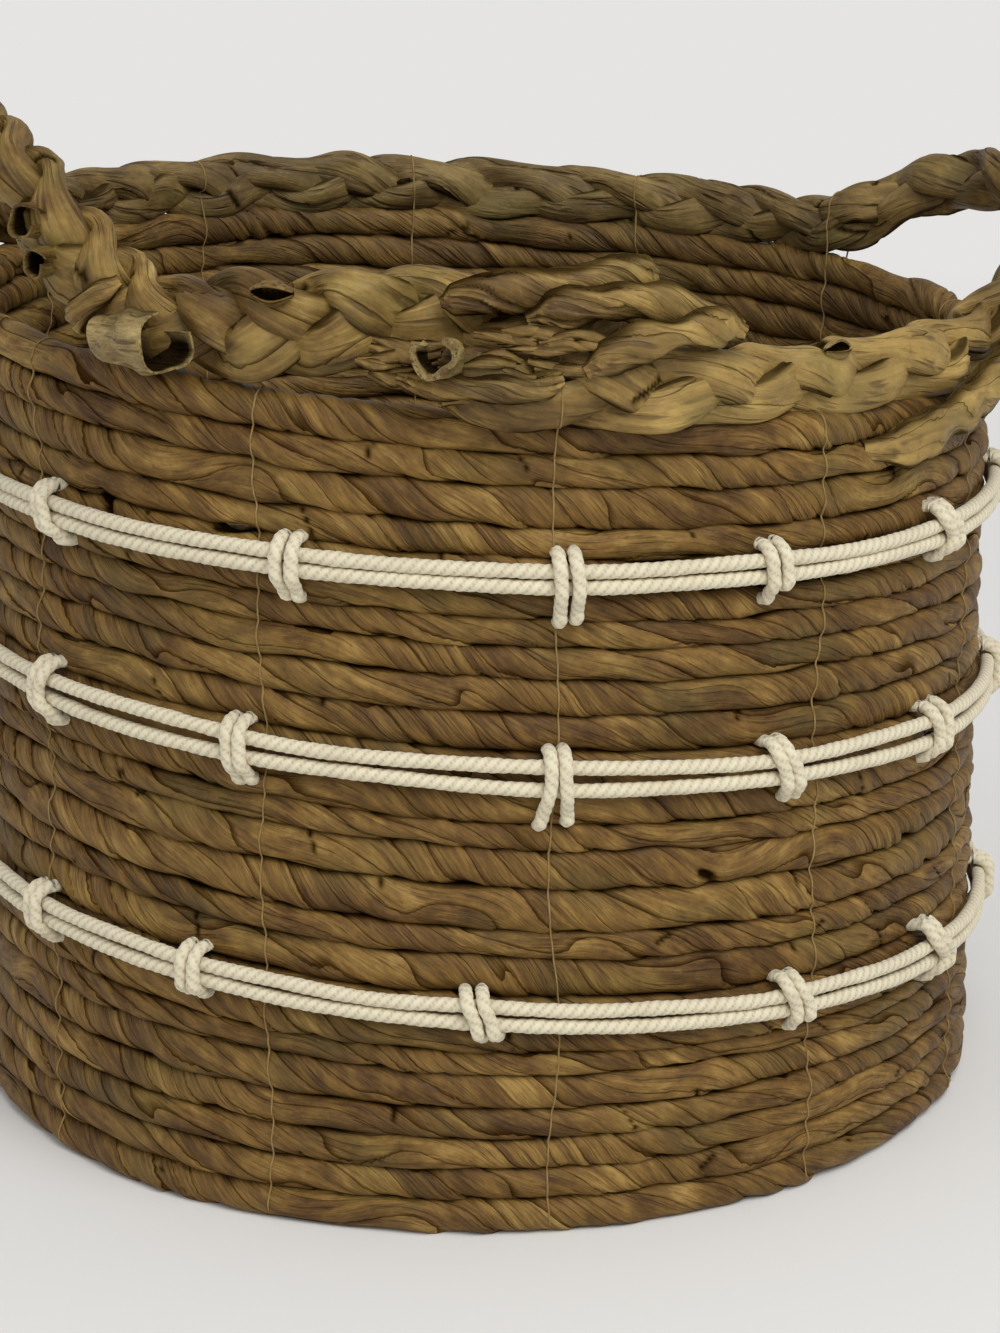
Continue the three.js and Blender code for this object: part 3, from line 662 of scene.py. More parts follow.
def leaf_roll(name, roll, seed):
    start, end = spot(*roll["start"]), spot(*roll["end"])
    share = np.linspace(0, 1, ROLL_STEPS)
    axis = unit(end - start)
    hint = outward(np.array(float(roll["start"][1]))) if roll["lies"] else UP
    out = unit(hint - axis * (hint @ axis))
    side = np.cross(axis, out)
    angles = np.radians(np.linspace(*roll["arc"], ROLL_POINTS))
    belly = 1 - roll["belly"] + roll["belly"] * np.sin(np.pi * np.clip(share * roll["flare"], 0, 1))
    curl = 1 - roll["curl"] * np.linspace(0, 1, ROLL_POINTS)
    along = share * np.linalg.norm(end - start)
    sheet = np.broadcast_to(angles, (ROLL_STEPS, ROLL_POINTS))
    dent = roll["dent"] * crumple(sheet, along, 4, 12 * MM, seed)
    outer = roll["size"] * MM * belly[:, None] * (curl[None, :] + dent)
    inner = outer - roll["leaf"] * MM
    radii = np.concatenate([outer, inner[:, ::-1]], axis=1)
    section = np.concatenate([angles, angles[::-1]])
    steps = out * np.cos(section)[:, None] + side * np.sin(section)[:, None]
    rings = (start + (end - start) * share[:, None])[:, None] + steps[None] * radii[..., None]
    full = section[None, :] + np.zeros_like(radii)
    far = np.zeros_like(radii) + along[:, None]
    lay = np.stack([np.cos(full) * radii, np.sin(full) * radii, far], axis=-1)
    from_rim = along[-1] - along if not roll["lies"] else np.full_like(along, 1.0)
    inside = np.concatenate([np.zeros(ROLL_POINTS), np.ones(ROLL_POINTS)])[None, :]
    edges = np.minimum(np.arange(ROLL_POINTS), np.arange(ROLL_POINTS)[::-1])
    off_edge = np.concatenate([edges, edges[::-1]])[None, :] > 1
    # painted shade on the inner face of the sheet, away from its edges and past the pale rim
    dark = inside * off_edge * smoothstep(from_rim, *ROLL_RIM)[:, None]
    around = np.broadcast_to(np.arange(2 * ROLL_POINTS) * np.pi / ROLL_POINTS, radii.shape)
    return tube(name, rings, along, around, 1, {"lay": lay, "dark": dark})


def join(name, parts):
    bpy.ops.object.select_all(action="DESELECT")
    for part in parts:
        part.select_set(True)
    bpy.context.view_layer.objects.active = parts[0]
    bpy.ops.object.join()
    parts[0].name = name
    parts[0].data.name = name
    return parts[0]


# %% The folds and ends that the rim shows
# start and end: radius in mm, azimuth, height in mm. lies: along the plait, else it points out of it.
# arc: the sheet's two edges in degrees round the line, from outward, or from upward where it points out.
ROLLS = {
    "rim_fold_cup": {
        "start": (153, -38.5, 242), "end": (163.5, -28.4, 245.5), "lies": False, "size": 8.8,
        "arc": (10, 285), "belly": 0.3, "flare": 0.5, "curl": 0.12, "leaf": 0.6, "dent": 0.08,
    },
    "rim_fold_eye": {
        "start": (153.4, -21.6, 258.5), "end": (153.6, -17.2, 258.6), "lies": True, "size": 3.5,
        "arc": (35, 325), "belly": 0.75, "flare": 1, "curl": 0.0, "leaf": 0.6, "dent": 0.05,
    },
    "rim_fold_scroll_1": {
        "start": (149, -48.8, 268.5), "end": (160, -47.3, 269.6), "lies": False, "size": 6.0,
        "arc": (-60, 270), "belly": 0.1, "flare": 0.5, "curl": 0.45, "leaf": 0.7, "dent": 0.08,
    },
    "rim_fold_scroll_2": {
        "start": (149, -46.5, 258.5), "end": (160, -45.8, 259), "lies": False, "size": 5.0,
        "arc": (-60, 290), "belly": 0.1, "flare": 0.5, "curl": 0.45, "leaf": 0.7, "dent": 0.08,
    },
    "rim_fold_small": {
        "start": (151.3, 37.2, 238.2), "end": (149.9, 41.2, 237.4), "lies": True, "size": 2.8,
        "arc": (0, 290), "belly": 0.7, "flare": 1, "curl": 0.0, "leaf": 0.6, "dent": 0.05,
    },
    "rim_cut_end": {
        "start": (151, -2.4, 244), "end": (165, -3.4, 246.5), "lies": False, "size": 7.0,
        "arc": (60, 335), "belly": 0.1, "flare": 0.5, "curl": 0.3, "leaf": 1.7, "dent": 0.12,
    },
}
rim_details = [leaf_roll(name, roll, 400 + number) for number, (name, roll) in enumerate(ROLLS.items())]
print("folds:", list(ROLLS))

# %% Loose bundles: ends of strands, the crumpled leaf between them, and the handle's foot
# the ends and the wisps get their painted seam shade further round their sides
END_TWIST = dict(STRAND_TWIST, crease=0.7 * MM, folds=8, span=24 * MM, strips=6, lay=70 * MM, uneven=0.5,
                 seam_from=0.55, crack_every=200 * MM, pits=[])
FOOT_TWIST = dict(END_TWIST, crease=0.9 * MM, folds=9, span=16 * MM, lay=120 * MM)
WISP_TWIST = dict(END_TWIST, crease=0.5 * MM, folds=5, span=12 * MM, strips=2, edge=0.4 * MM, seam_from=0.45,
                  crack_every=14 * MM, angles=np.arange(20) * 2 * np.pi / 20)
BUNDLE_TIP = 0.4  # a bundle's thickness at its tips, as a share of its middle
# route: radius in mm, azimuth, height in mm. wide and thick: half the section in mm.
# tip: the length in mm over which it runs thin.
BUNDLES = {
    "rim_end_upper": {
        "route": [(150, -3.2, 257), (149, 3, 259.5), (148, 8, 260.5), (147, 13, 262), (146, 18.6, 262)],
        "wide": 4.3, "thick": 3.2, "tip": 3, "twist": END_TWIST,
    },
    "rim_end_second": {
        "route": [(152, 5, 252.5), (152, 10, 256), (152, 14.5, 257), (153, 19, 255.5), (155, 23, 251),
                  (157, 26, 247)],
        "wide": 4.4, "thick": 3.0, "tip": 8, "twist": END_TWIST,
    },
    "rim_end_striped": {
        "route": [(160, 10, 240.5), (160, 13.4, 245.5), (160, 16.5, 248.3), (158, 20.5, 249.5),
                  (156, 26, 249)],
        "wide": 4.4, "thick": 2.8, "tip": 8, "twist": END_TWIST,
    },
    "rim_end_low": {
        "route": [(157, -7, 238.7), (159, -3, 237.6), (160, 1.2, 237.2), (160, 5, 237), (159, 8, 239.5)],
        "wide": 2.8, "thick": 2.4, "tip": 5, "twist": END_TWIST,
    },
    "rim_hanging_leaf": {
        "route": [(151.2, -37.2, 257), (156, -39, 253), (157, -41, 247.5), (150.8, -42.5, 242.5)],
        "wide": 3.4, "thick": 1.8, "tip": 7, "twist": END_TWIST,
    },
    "rim_foot_end": {
        "route": [(149, 44, 207.5), (153.5, 50, 209), (155.5, 58, 213), (158, 67, 219.5), (160, 76, 228),
                  (159, 83, 236)],
        "wide": 6.0, "thick": 2.6, "tip": 18, "twist": FOOT_TWIST,
    },
}
# Where narrow wisps of leaf lie over each other: radius and heights in mm, azimuths of their left ends
CRUMPLES = {
    "rim_crumple_middle": {"radius": 159, "azimuths": (-1.5, 7.5), "heights": (239.5, 251), "count": 20},
    "rim_crumple_left": {"radius": 153.5, "azimuths": (-12, -8), "heights": (238.5, 248), "count": 8},
}


def leaf_bundle(name, bundle, seed):
    """A flat bundle of leaf along a route, face outward, that runs thin towards both tips."""
    route, along = even_route(smooth_route([spot(*place) for place in bundle["route"]], 30), STRAND_STEP)
    ahead = unit(np.gradient(route, axis=0))
    flat = route * np.array([1, 1, 0])
    out = unit(flat - ahead * np.sum(flat * ahead, axis=1, keepdims=True))
    across = np.cross(ahead, out)
    from_tip = np.minimum(along, along[-1] - along)
    taper = BUNDLE_TIP + (1 - BUNDLE_TIP) * smoothstep(from_tip, 0, bundle["tip"] * MM)
    wide = bundle["wide"] * MM * taper * (1 + 0.15 * wander(along, 18 * MM, seed))
    thick = bundle["thick"] * MM * taper
    return twisted_tube(name, route, out, across, thick, wide, along, bundle["twist"], seed + 1)


def crumpled_leaf(name, place, seed):
    chance = np.random.default_rng(seed)
    wisps = []
    for number in range(place["count"]):
        azimuth, height = chance.uniform(*place["azimuths"]), chance.uniform(*place["heights"])
        reach, tilt, arch = chance.uniform(3.5, 7), chance.uniform(-3, 3), chance.uniform(-1.5, 2)
        radius = place["radius"] + chance.uniform(-0.8, 1.2)
        wide = chance.uniform(0.8, 1.9)
        route = [
            (radius - 1.5, azimuth, height),
            (radius, azimuth + reach / 2, height + tilt / 2 + arch),
            (radius - 1.5, azimuth + reach, height + tilt),
        ]
        wisp = {"route": route, "wide": wide, "thick": 0.9, "tip": 6, "twist": WISP_TWIST}
        wisps.append(leaf_bundle(f"{name}_{number}", wisp, seed + 3 * number))
    return join(name, wisps)


for number, (name, bundle) in enumerate(BUNDLES.items()):
    rim_details.append(leaf_bundle(name, bundle, 430 + 3 * number))
for number, (name, place) in enumerate(CRUMPLES.items()):
    rim_details.append(crumpled_leaf(name, place, 470 + 90 * number))
print("folds and loose ends:", len(rim_details))

# %% [markdown]
# ## Cotton cord
# The bands and their ties are three-ply cotton cord. The three plies show as a slanting line every
# few millimetres, so they are in the mesh. The material adds the yarn's fuzz and a painted shade in
# the valleys between the plies.

# %% A three-ply cord along any route
PLIES = 3
PLY_LAY = 8.6 * MM
PLY_DEPTH = 0.3 * MM
CORD_STEP = 0.8 * MM
CORD_ANGLES = np.arange(18) * 2 * np.pi / 18


def plied_cord(name, points, radius, side_hint, seed, taper=0.0, wide=1.0, ply_depth=PLY_DEPTH):
    route, along = even_route(points, CORD_STEP)
    ahead = unit(np.gradient(route, axis=0))
    hint = side_hint(route)
    out = unit(hint - ahead * np.sum(hint * ahead, axis=1, keepdims=True))
    across = np.cross(ahead, out)
    angle = CORD_ANGLES[None, :] + 2 * np.pi * along[:, None] / PLY_LAY
    ply = np.abs(np.cos(PLIES * angle / 2))
    loose = 1 + 0.035 * wander(along, 12 * MM, seed)
    ends = 1 - taper * (1 - smoothstep(np.minimum(along, along[-1] - along), 0, 3 * MM))
    size = (radius * loose * ends)[:, None] - ply_depth * (1 - ply)
    cos, sin = np.cos(CORD_ANGLES)[None, :, None], np.sin(CORD_ANGLES)[None, :, None] * wide
    rings = route[:, None] + (out[:, None] * cos + across[:, None] * sin) * size[..., None]
    lay = np.stack([np.cos(angle) * radius, np.sin(angle) * radius, angle * 0 + along[:, None]], axis=-1)
    # painted shade in the valleys between the plies, weaker where the plies are shallower
    shaded = 1 - (1 - ply) * ply_depth / PLY_DEPTH
    return tube(name, rings, along, angle, PLIES, {"lay": lay, "ply": shaded})


def from_axis(route):
    """Away from the middle of the basket."""
    flat = route.copy()
    flat[:, 2] = 0
    return unit(flat)


# %% Three bands, each one cord wound twice round
BAND_TURNS = 2
BAND_STEPS = 1600
BAND_START_AZIMUTH = CLIMB_AZIMUTH - 6.5 * FULL_TURN / STEPS_PER_TURN  # at the back
BANDS = [
    {
        "name": "top", "course": 19.8, "tilt": 6.5 * MM, "gap": 0.5 * MM,
        "ties": [-47.7, -18.2, 8, 30.7, 57],
    },
    {
        "name": "middle", "course": 13.85, "tilt": 10 * MM, "gap": 1.9 * MM,
        "ties": [-49.7, -23.9, 8, 32.7, 56.4],
    },
    {
        "name": "bottom", "course": 6.45, "tilt": 11 * MM, "gap": 0.9 * MM,
        "ties": [-52, -29.6, 2, 34.7, 58.7],
    },
]
TIES_PER_BAND = 13


def band_height(band, turns, azimuth):
    spacing = CORD_DIAMETER + band["gap"]
    return level_of(np.array(band["course"])) + lean_at(azimuth, band["tilt"]) + (turns - 1) * spacing


SOFT_CORD = 1.1  # the cord's fuzz makes it look this much thicker than its solid
BAND_SINK = 0.3 * MM  # into the soft rope
band_pieces = {}
for number, band in enumerate(BANDS):
    turns = np.linspace(0, BAND_TURNS, BAND_STEPS)
    azimuth = BAND_START_AZIMUTH - turns * FULL_TURN
    metres = turns * 2 * np.pi * CORD_RADIUS
    slack = wander(metres, 60 * MM, 100 + number) * 0.35 * MM
    heights = band_height(band, turns, azimuth) + slack
    route = place_at(np.full_like(turns, CORD_RADIUS - BAND_SINK), azimuth, heights)
    name = f"band_cord_{band['name']}"
    cord = plied_cord(f"{name}_skin", route, CORD_DIAMETER / 2 * SOFT_CORD, from_axis, 110 + number)
    band_pieces[name] = cord
    print(cord.name, "triangles:", 2 * len(cord.data.polygons))

# %% [markdown]
# ## Ties
# Each tie is a short cord that comes out of the wall above the band, crosses it and goes back in
# below the next course, with a second leg close beside it. No two are alike: some lean, some legs
# spread, and at the right end of the front they hook over. So each leg that the photograph shows has
# its own four measures.

# %% Ties over the bands
TIE_DIAMETER = 3.6 * MM
TIE_WIDE = 1.06  # the soft cord spreads where it is pulled over the band
TIE_CLOSE = 0.84  # how close the two legs lie, as a share of the places in TIE_LOOKS
TIE_RADIUS = CORD_RADIUS + (CORD_DIAMETER + TIE_DIAMETER) / 2 - 0.7 * MM
TIE_SINK = 4.2 * MM
TIE_LEG_LIFT = 0.4 * MM
TIE_ABOVE = 2.8
TIE_LOOKS = {
    # for the left and the right leg: its place to the right of the tie's middle at its top, at half
    # height and at its foot, and how far the foot goes below the band, all in mm; then how far both
    # start above the band
    "tie_top_01": ((-4.0, -1.8, 3.0, 4.5), (-0.8, 1.6, 5.6, 3.8), 3),
    "tie_top_02": ((-2.4, -3.2, -1.6, 6.2), (2.6, 2.4, 2.2, 6.6), 2.6),
    "tie_top_03": ((0.2, 0.7, 1.1, 9.2), (5.3, 6.2, 6.3, 8.4), 3),
    "tie_top_04": ((-2.9, -2.2, -0.8, 5.2), (2.2, 2.8, 3.5, 1.2), 3),
    "tie_top_05": ((-5.0, 0.4, -0.6, 3.6), (-0.5, 4.6, 3.4, 2.8), 4.5),
    "tie_middle_01": ((-0.5, -2.8, 1.0, 5.4), (4.0, 1.4, 4.6, 4.6), 3.5),
    "tie_middle_02": ((-2.6, -2.2, -1.0, 6.0), (2.1, 2.2, 3.2, 5.6), 2.6),
    "tie_middle_03": ((-2.1, -2.1, -5.0, 9.6), (2.4, 2.4, 3.8, 8.6), 3),
    "tie_middle_04": ((-5.4, -2.3, 1.5, 4.6), (-1.4, 2.1, 5.6, 4.4), 3.4),
    "tie_middle_05": ((-4.4, -1.4, -2.6, 3.4), (2.6, 3.2, 2.8, 3.6), 3.4),
    "tie_bottom_01": ((-3.0, -2.6, -0.8, 4.4), (1.6, 2.0, 3.4, 4.2), 2.8),
    "tie_bottom_02": ((-2.6, -2.8, -3.2, 2.8), (2.2, 2.0, 2.2, 3.2), 2.6),
    "tie_bottom_03": ((-9.3, -6.5, -3.7, 2.2), (-4.1, -1.5, 1.1, 2.0), 3),
    "tie_bottom_04": ((-5.2, -2.2, -0.2, 4.0), (-0.8, 2.6, 5.2, 1.2), 3.8),
    "tie_bottom_05": ((-6.4, 0.8, -1.4, 3.6), (-2.0, 4.8, 2.8, 3.0), 6.5),
}


def tie_azimuths(band):
    last = band["ties"][-1]
    back = band["ties"][0] + FULL_TURN - last
    others = TIES_PER_BAND - len(band["ties"])
    return band["ties"] + [last + back * index / (others + 1) for index in range(1, others + 1)]


def cord_heights(band, azimuth):
    share = ((BAND_START_AZIMUTH - azimuth) % FULL_TURN) / FULL_TURN
    return float(band_height(band, share, azimuth)), float(band_height(band, share + 1, azimuth))


def tie_leg(name, azimuth, low, high, look, above, seed, lift):
    at_top, at_middle, at_foot = (value * TIE_CLOSE * MM for value in look[:3])
    below = look[3] * MM
    top = high + CORD_DIAMETER / 2
    bottom = low - CORD_DIAMETER / 2
    over = TIE_RADIUS + lift
    rows = [
        (WALL_RADIUS - TIE_SINK, top + above * 0.6, at_top),
        (WALL_RADIUS + 2.4 * MM, top + above * 0.85, at_top),
        (over - 0.3 * MM, top + above * 0.2 - 0.6 * MM, at_top * 0.8 + at_middle * 0.2),
        (over, (top + bottom) / 2, at_middle),
        (over - 0.2 * MM, bottom + 0.4 * MM, at_middle * 0.7 + at_foot * 0.3),
        (WALL_RADIUS + 2.9 * MM, bottom - below * 0.5, at_middle * 0.3 + at_foot * 0.7),
        (WALL_RADIUS + 1.8 * MM, bottom - below * 0.85, at_foot),
        (WALL_RADIUS - TIE_SINK, bottom - below, at_foot),
    ]
    corners = [
        outward(np.array(azimuth)) * radius + sideways(np.array(azimuth)) * aside + UP * height
        for radius, height, aside in rows
    ]
    return plied_cord(name, smooth_route(corners, 10), TIE_DIAMETER / 2, from_axis, seed,
                      taper=0.25, wide=TIE_WIDE, ply_depth=PLY_DEPTH * 0.95)


tie_pieces = {}
chance = np.random.default_rng(5)
for band in BANDS:
    for index, azimuth in enumerate(tie_azimuths(band)):
        node = f"tie_{band['name']}_{index + 1:02d}"
        lean, spread, below = chance.uniform(-2, 2.5), chance.uniform(0, 2.5), chance.uniform(3, 6.5)
        by_chance = (
            (-2.2 - lean, -2.2, -2.2 + lean - spread / 2, below),
            (2.2 - lean, 2.2, 2.2 + lean + spread / 2, below + chance.uniform(-0.6, 0.6)),
            TIE_ABOVE,
        )
        left, right, above = TIE_LOOKS.get(node, by_chance)
        low, high = cord_heights(band, azimuth)
        legs = [
            tie_leg(f"{node}_left", azimuth, low, high, left, above * MM, 200 + index, 0),
            tie_leg(f"{node}_right", azimuth, low, high, right, above * MM, 220 + index, TIE_LEG_LIFT),
        ]
        tie_pieces[node] = join(f"{node}_skin", legs)
print("ties:", len(tie_pieces))

# %% [markdown]
# ## Sewing thread
# Each line of sewing is pulled tight over the courses and bridges the grooves. To lie on the rope
# that is really there, the thread is found by feeling for it: rays go in from outside along the
# thread's line, and what they meet is the surface. Then each point is lifted to what a tight thread
# between its neighbours allows.

# %% Feeling for the surface
FEEL_STEP = 1.2 * MM
FEEL_FROM = 25 * MM  # how far off the surface the rays start
TIGHT_SLOPE = 0.55


def first_met(pieces, start, direction, reach):
    nearest = reach
    for piece in pieces:
        met, place, _, _ = piece.ray_cast(Vector(start), Vector(direction), distance=float(nearest))
        if met:
            nearest = (place - Vector(start)).length
    return nearest


def pulled_tight(heights, spacing):
    """The lowest line over these heights whose slope is nowhere above TIGHT_SLOPE."""
    steps = np.arange(len(heights))
    fall = np.abs(steps[:, None] - steps[None, :]) * spacing * TIGHT_SLOPE
    return np.max(heights[None, :] - fall, axis=1)


# %% Lines of sewing
STITCH_COUNT = 12
FIRST_STITCH_AZIMUTH = 8
THREAD_SIZE = 0.5 * MM
THREAD_PLIES = 2
THREAD_LAY = 3 * MM
THREAD_PROUD = THREAD_SIZE * 0.4  # of the thread's middle, off the surface
RAY_ROOM = {"plait": 40 * MM, "wall": 12 * MM}  # off the middle line of what the thread goes over
OVER_ARC = {"plait": (-55, 235), "wall": (5, 175)}  # degrees, from outward over the top to inward
BOUND = [8, 128, 158, -172, -142]  # azimuths at which the thread also goes over the plait
THREAD_ANGLES = np.arange(6) * 2 * np.pi / 6
THREAD_STEP = 1.1 * MM
THREAD_DRIFT = 1.0 * MM

bpy.context.view_layer.update()
wall_skins = [piece for piece, node in wall_pieces.values()] + [base]


def thread_on_face(azimuth, low, high, inner, seed):
    """Points up one face of the wall."""
    heights = np.linspace(low, high, int((high - low) / FEEL_STEP))
    drift = np.degrees(wander(heights, 60 * MM, seed) * THREAD_DRIFT / WALL_RADIUS)
    side = -1 if inner else 1
    start = WALL_RADIUS + side * FEEL_FROM - (2 * COURSE_HALF if inner else 0)
    reach = []
    for height, turn in zip(heights, drift):
        way = outward(np.array(azimuth + turn))
        reach.append(first_met(wall_skins, way * start + UP * height, way * -side, 2 * FEEL_FROM))
    proud = pulled_tight(-np.array(reach), FEEL_STEP)
    radius = start + side * (proud + THREAD_PROUD)
    return list(place_at(radius, azimuth + drift, heights))


def thread_over(azimuth, centre_radius, centre_height, form, pieces):
    """Points over the top, round the middle line of the plait or the wall, from outside to inside."""
    room = RAY_ROOM[form]
    angles = np.radians(np.linspace(*OVER_ARC[form], 40))
    way = outward(np.array(float(azimuth)))
    centre = way * centre_radius + UP * centre_height
    directions = [way * math.cos(angle) + UP * math.sin(angle) for angle in angles]
    reach = [first_met(pieces, centre + step * room, -step, room) for step in directions]
    spacing = (angles[1] - angles[0]) * room / 2
    proud = room + pulled_tight(-np.array(reach), spacing) + THREAD_PROUD
    return [centre + step * far for step, far in zip(directions, proud)]


def sewing_thread(name, points, seed):
    route, along = even_route(np.array(points), THREAD_STEP)
    ahead = unit(np.gradient(route, axis=0))
    hint = np.broadcast_to(sideways(np.degrees(np.arctan2(route[0, 0], -route[0, 1]))), route.shape)
    out = unit(hint - ahead * np.sum(hint * ahead, axis=1, keepdims=True))
    across = np.cross(ahead, out)
    angle = THREAD_ANGLES[None, :] + 2 * np.pi * along[:, None] / THREAD_LAY
    cos, sin = np.cos(THREAD_ANGLES)[None, :, None], np.sin(THREAD_ANGLES)[None, :, None]
    size = (THREAD_SIZE / 2 * (1 + 0.1 * wander(along, 8 * MM, seed)))[:, None, None]
    rings = route[:, None] + (out[:, None] * cos + across[:, None] * sin) * size
    lay = np.stack([np.cos(angle), np.sin(angle), angle * 0 + along[:, None] / MM], axis=-1) * MM
    # painted shade in the valleys between the thread's two plies
    ply = np.abs(np.cos(angle))
    return tube(name, rings, along, angle, THREAD_PLIES, {"lay": lay, "ply": ply})


stitch_pieces = {}
for index in range(STITCH_COUNT):
    azimuth = FIRST_STITCH_AZIMUTH + index * FULL_TURN / STITCH_COUNT
    azimuth = azimuth - FULL_TURN if azimuth > HALF_TURN else azimuth
    top = float(top_of_wall(np.array(float(azimuth))))
    outer = thread_on_face(azimuth, 3 * MM, top - COURSE_HALF, False, 300 + index)
    inner = thread_on_face(azimuth, BASE_TOP + 3 * MM, top - COURSE_HALF, True, 320 + index)
    if azimuth in BOUND:
        middle = (PLAIT_RADIUS, top + PLAIT_HALF_HEIGHT)
        over = thread_over(azimuth, *middle, "plait", strand_pieces + wall_skins)
    else:
        middle = (WALL_RADIUS - COURSE_HALF, top - COURSE_HALF)
        over = thread_over(azimuth, *middle, "wall", wall_skins)
    node = f"stitch_{index + 1:02d}"
    stitch_pieces[node] = sewing_thread(f"{node}_skin", outer + over + inner[::-1], 340 + index)
print("lines of sewing:", len(stitch_pieces))

# %% [markdown]
# ## Colours and nodes
# A colour is written as the hex value that it has on a screen. A shader wants it linear, and one
# function does that. Another one adds a node with its settings and links, so that a material reads
# from top to bottom. Where many nodes of one kind follow each other, such as noises or layers of
# colour, a table says what differs between them, and a loop adds them.

# %% Two helpers for materials
# The Mix node has sockets for every kind of value. These are the places of the ones for a colour.
MIX_SHARE = 0
MIX_UNDER = 6
MIX_OVER = 7
MIX_RESULT = 2


def linear(code):
    values = [int(code[place:place + 2], 16) / 255 for place in (0, 2, 4)]
    bent = [value / 12.92 if value <= 0.04045 else ((value + 0.055) / 1.055) ** 2.4 for value in values]
    return (*bent, 1.0)


def add(tree, kind, inputs=None, **settings):
    """A node with its settings. An input is a value, or another node's socket that is linked to it."""
    node = tree.nodes.new(kind)
    for name, value in settings.items():
        setattr(node, name, value)
    for name, value in (inputs or {}).items():
        if isinstance(value, bpy.types.NodeSocket):
            tree.links.new(value, node.inputs[name])
        else:
            node.inputs[name].default_value = value
    return node


def new_material(name):
    material = bpy.data.materials.new(name)
    material.use_nodes = True
    material.node_tree.nodes.clear()
    return material, material.node_tree


# %% [markdown]
# ## Dried leaf
# Dried leaf is matt to silky, with fine fibres along each strip. Each strip comes from another leaf,
# so the tone changes from strip to strip and along each of them, and stains from drying lie over all
# of it in olive and dark brown. The tone uses the strip's number out of the UV map. The fibres,
# specks and splits use the untwisted place, and the patches and broad stains use the place in the
# basket. In the seams between the turns, in the open folds and in the cracks hardly any light comes
# back, so a painted shade in dark brown lies there, with no gloss. A painted shadow, also without
# gloss, lies under the step of each strip's edge. The leaf is also greyer towards the back, and a
# painted light lies on it towards the front right.

# %% What makes up the look of dried leaf
FIBRE = 0.45 * MM  # real fibres are about a third of this, drawn coarser to show
LEAF_LENGTH = 90 * MM  # along one strip, over which its tone changes into the next leaf's
STRIPS_APART = 5.3  # between the tones of two neighbouring strips, counted in leaf lengths
# Noises: what each follows, its size across and along in metres, its detail and its roughness
NOISES = {
    "tone": ("leaf", 1, 1, 1, 0.5),
    "fibre": ("lay", FIBRE, 14 * MM, 3, 0.6),
    "streak": ("lay", 1.3 * MM, 24 * MM, 3, 0.6),
    "mottle": ("lay", 3.4 * MM, 9 * MM, 4, 0.62),
    "patch": ("place", 26 * MM, 13 * MM, 3, 0.55),
    "length": ("lay", 900 * MM, 70 * MM, 3, 0.6),
    "speck": ("lay", 1.1 * MM, 2.6 * MM, 2, 0.5),
    "split": ("lay", 1.0 * MM, 16 * MM, 1, 0.5),
    "olive": ("place", 34 * MM, 16 * MM, 2, 0.5),
    "umber": ("place", 21 * MM, 9 * MM, 4, 0.6),
    "wrinkle": ("lay", 2.6 * MM, 5 * MM, 3, 0.6),
}
# Stains: the noise that places each, and that noise's value where the stain starts and where it is full
STAINS = {
    "olive": ("olive", 0.5, 0.66),
    "umber": ("umber", 0.52, 0.7),
    "speck": ("speck", 0.6, 0.72),
    "fleck": ("speck", 0.36, 0.27),
    "split": ("split", 0.6, 0.7),
}
# Metres from the middle at which the leaf starts to be grey, towards the back, or to carry a painted
# light, towards the front right, and at which it is fully so
GREYED_BACK = (-0.02, 0.12)
PAINTED_LIGHT_RIGHT = (0.01, 0.07)
PAINTED_LIGHT_FRONT = (-0.02, -0.08)
# greyer towards the back: the leaf is mixed towards this colour there
GREY_TOWARDS_BACK = "57503A"
# painted light towards the front right: the leaf is mixed towards this colour there
PAINTED_LIGHT_STRAW = "CBAC64"
SPECK_BROWN = "3A2412"
FLECK_CREAM = "D8C290"
SPLIT_BROWN = "331B0B"
# painted shadow just under the step of each strip's edge
EDGE_SHADOW_BROWN = "231106"
# painted shade in the seams, the cracks, the open folds and inside the scrolls
SEAM_SHADE_BROWN = "150A04"
LEAF_IOR = 1.45
LEAF_GLOSS = 0.3
# the painted shade and the painted shadow also take the gloss away, fully from this strength on
HIDDEN = 0.7  # how dark a seam or an edge is where it has lost all gloss
FIBRE_RELIEF = 0.45  # beside the streaks, whose relief is 1
SPLIT_RELIEF = -0.7


# %% Leaf of any tone


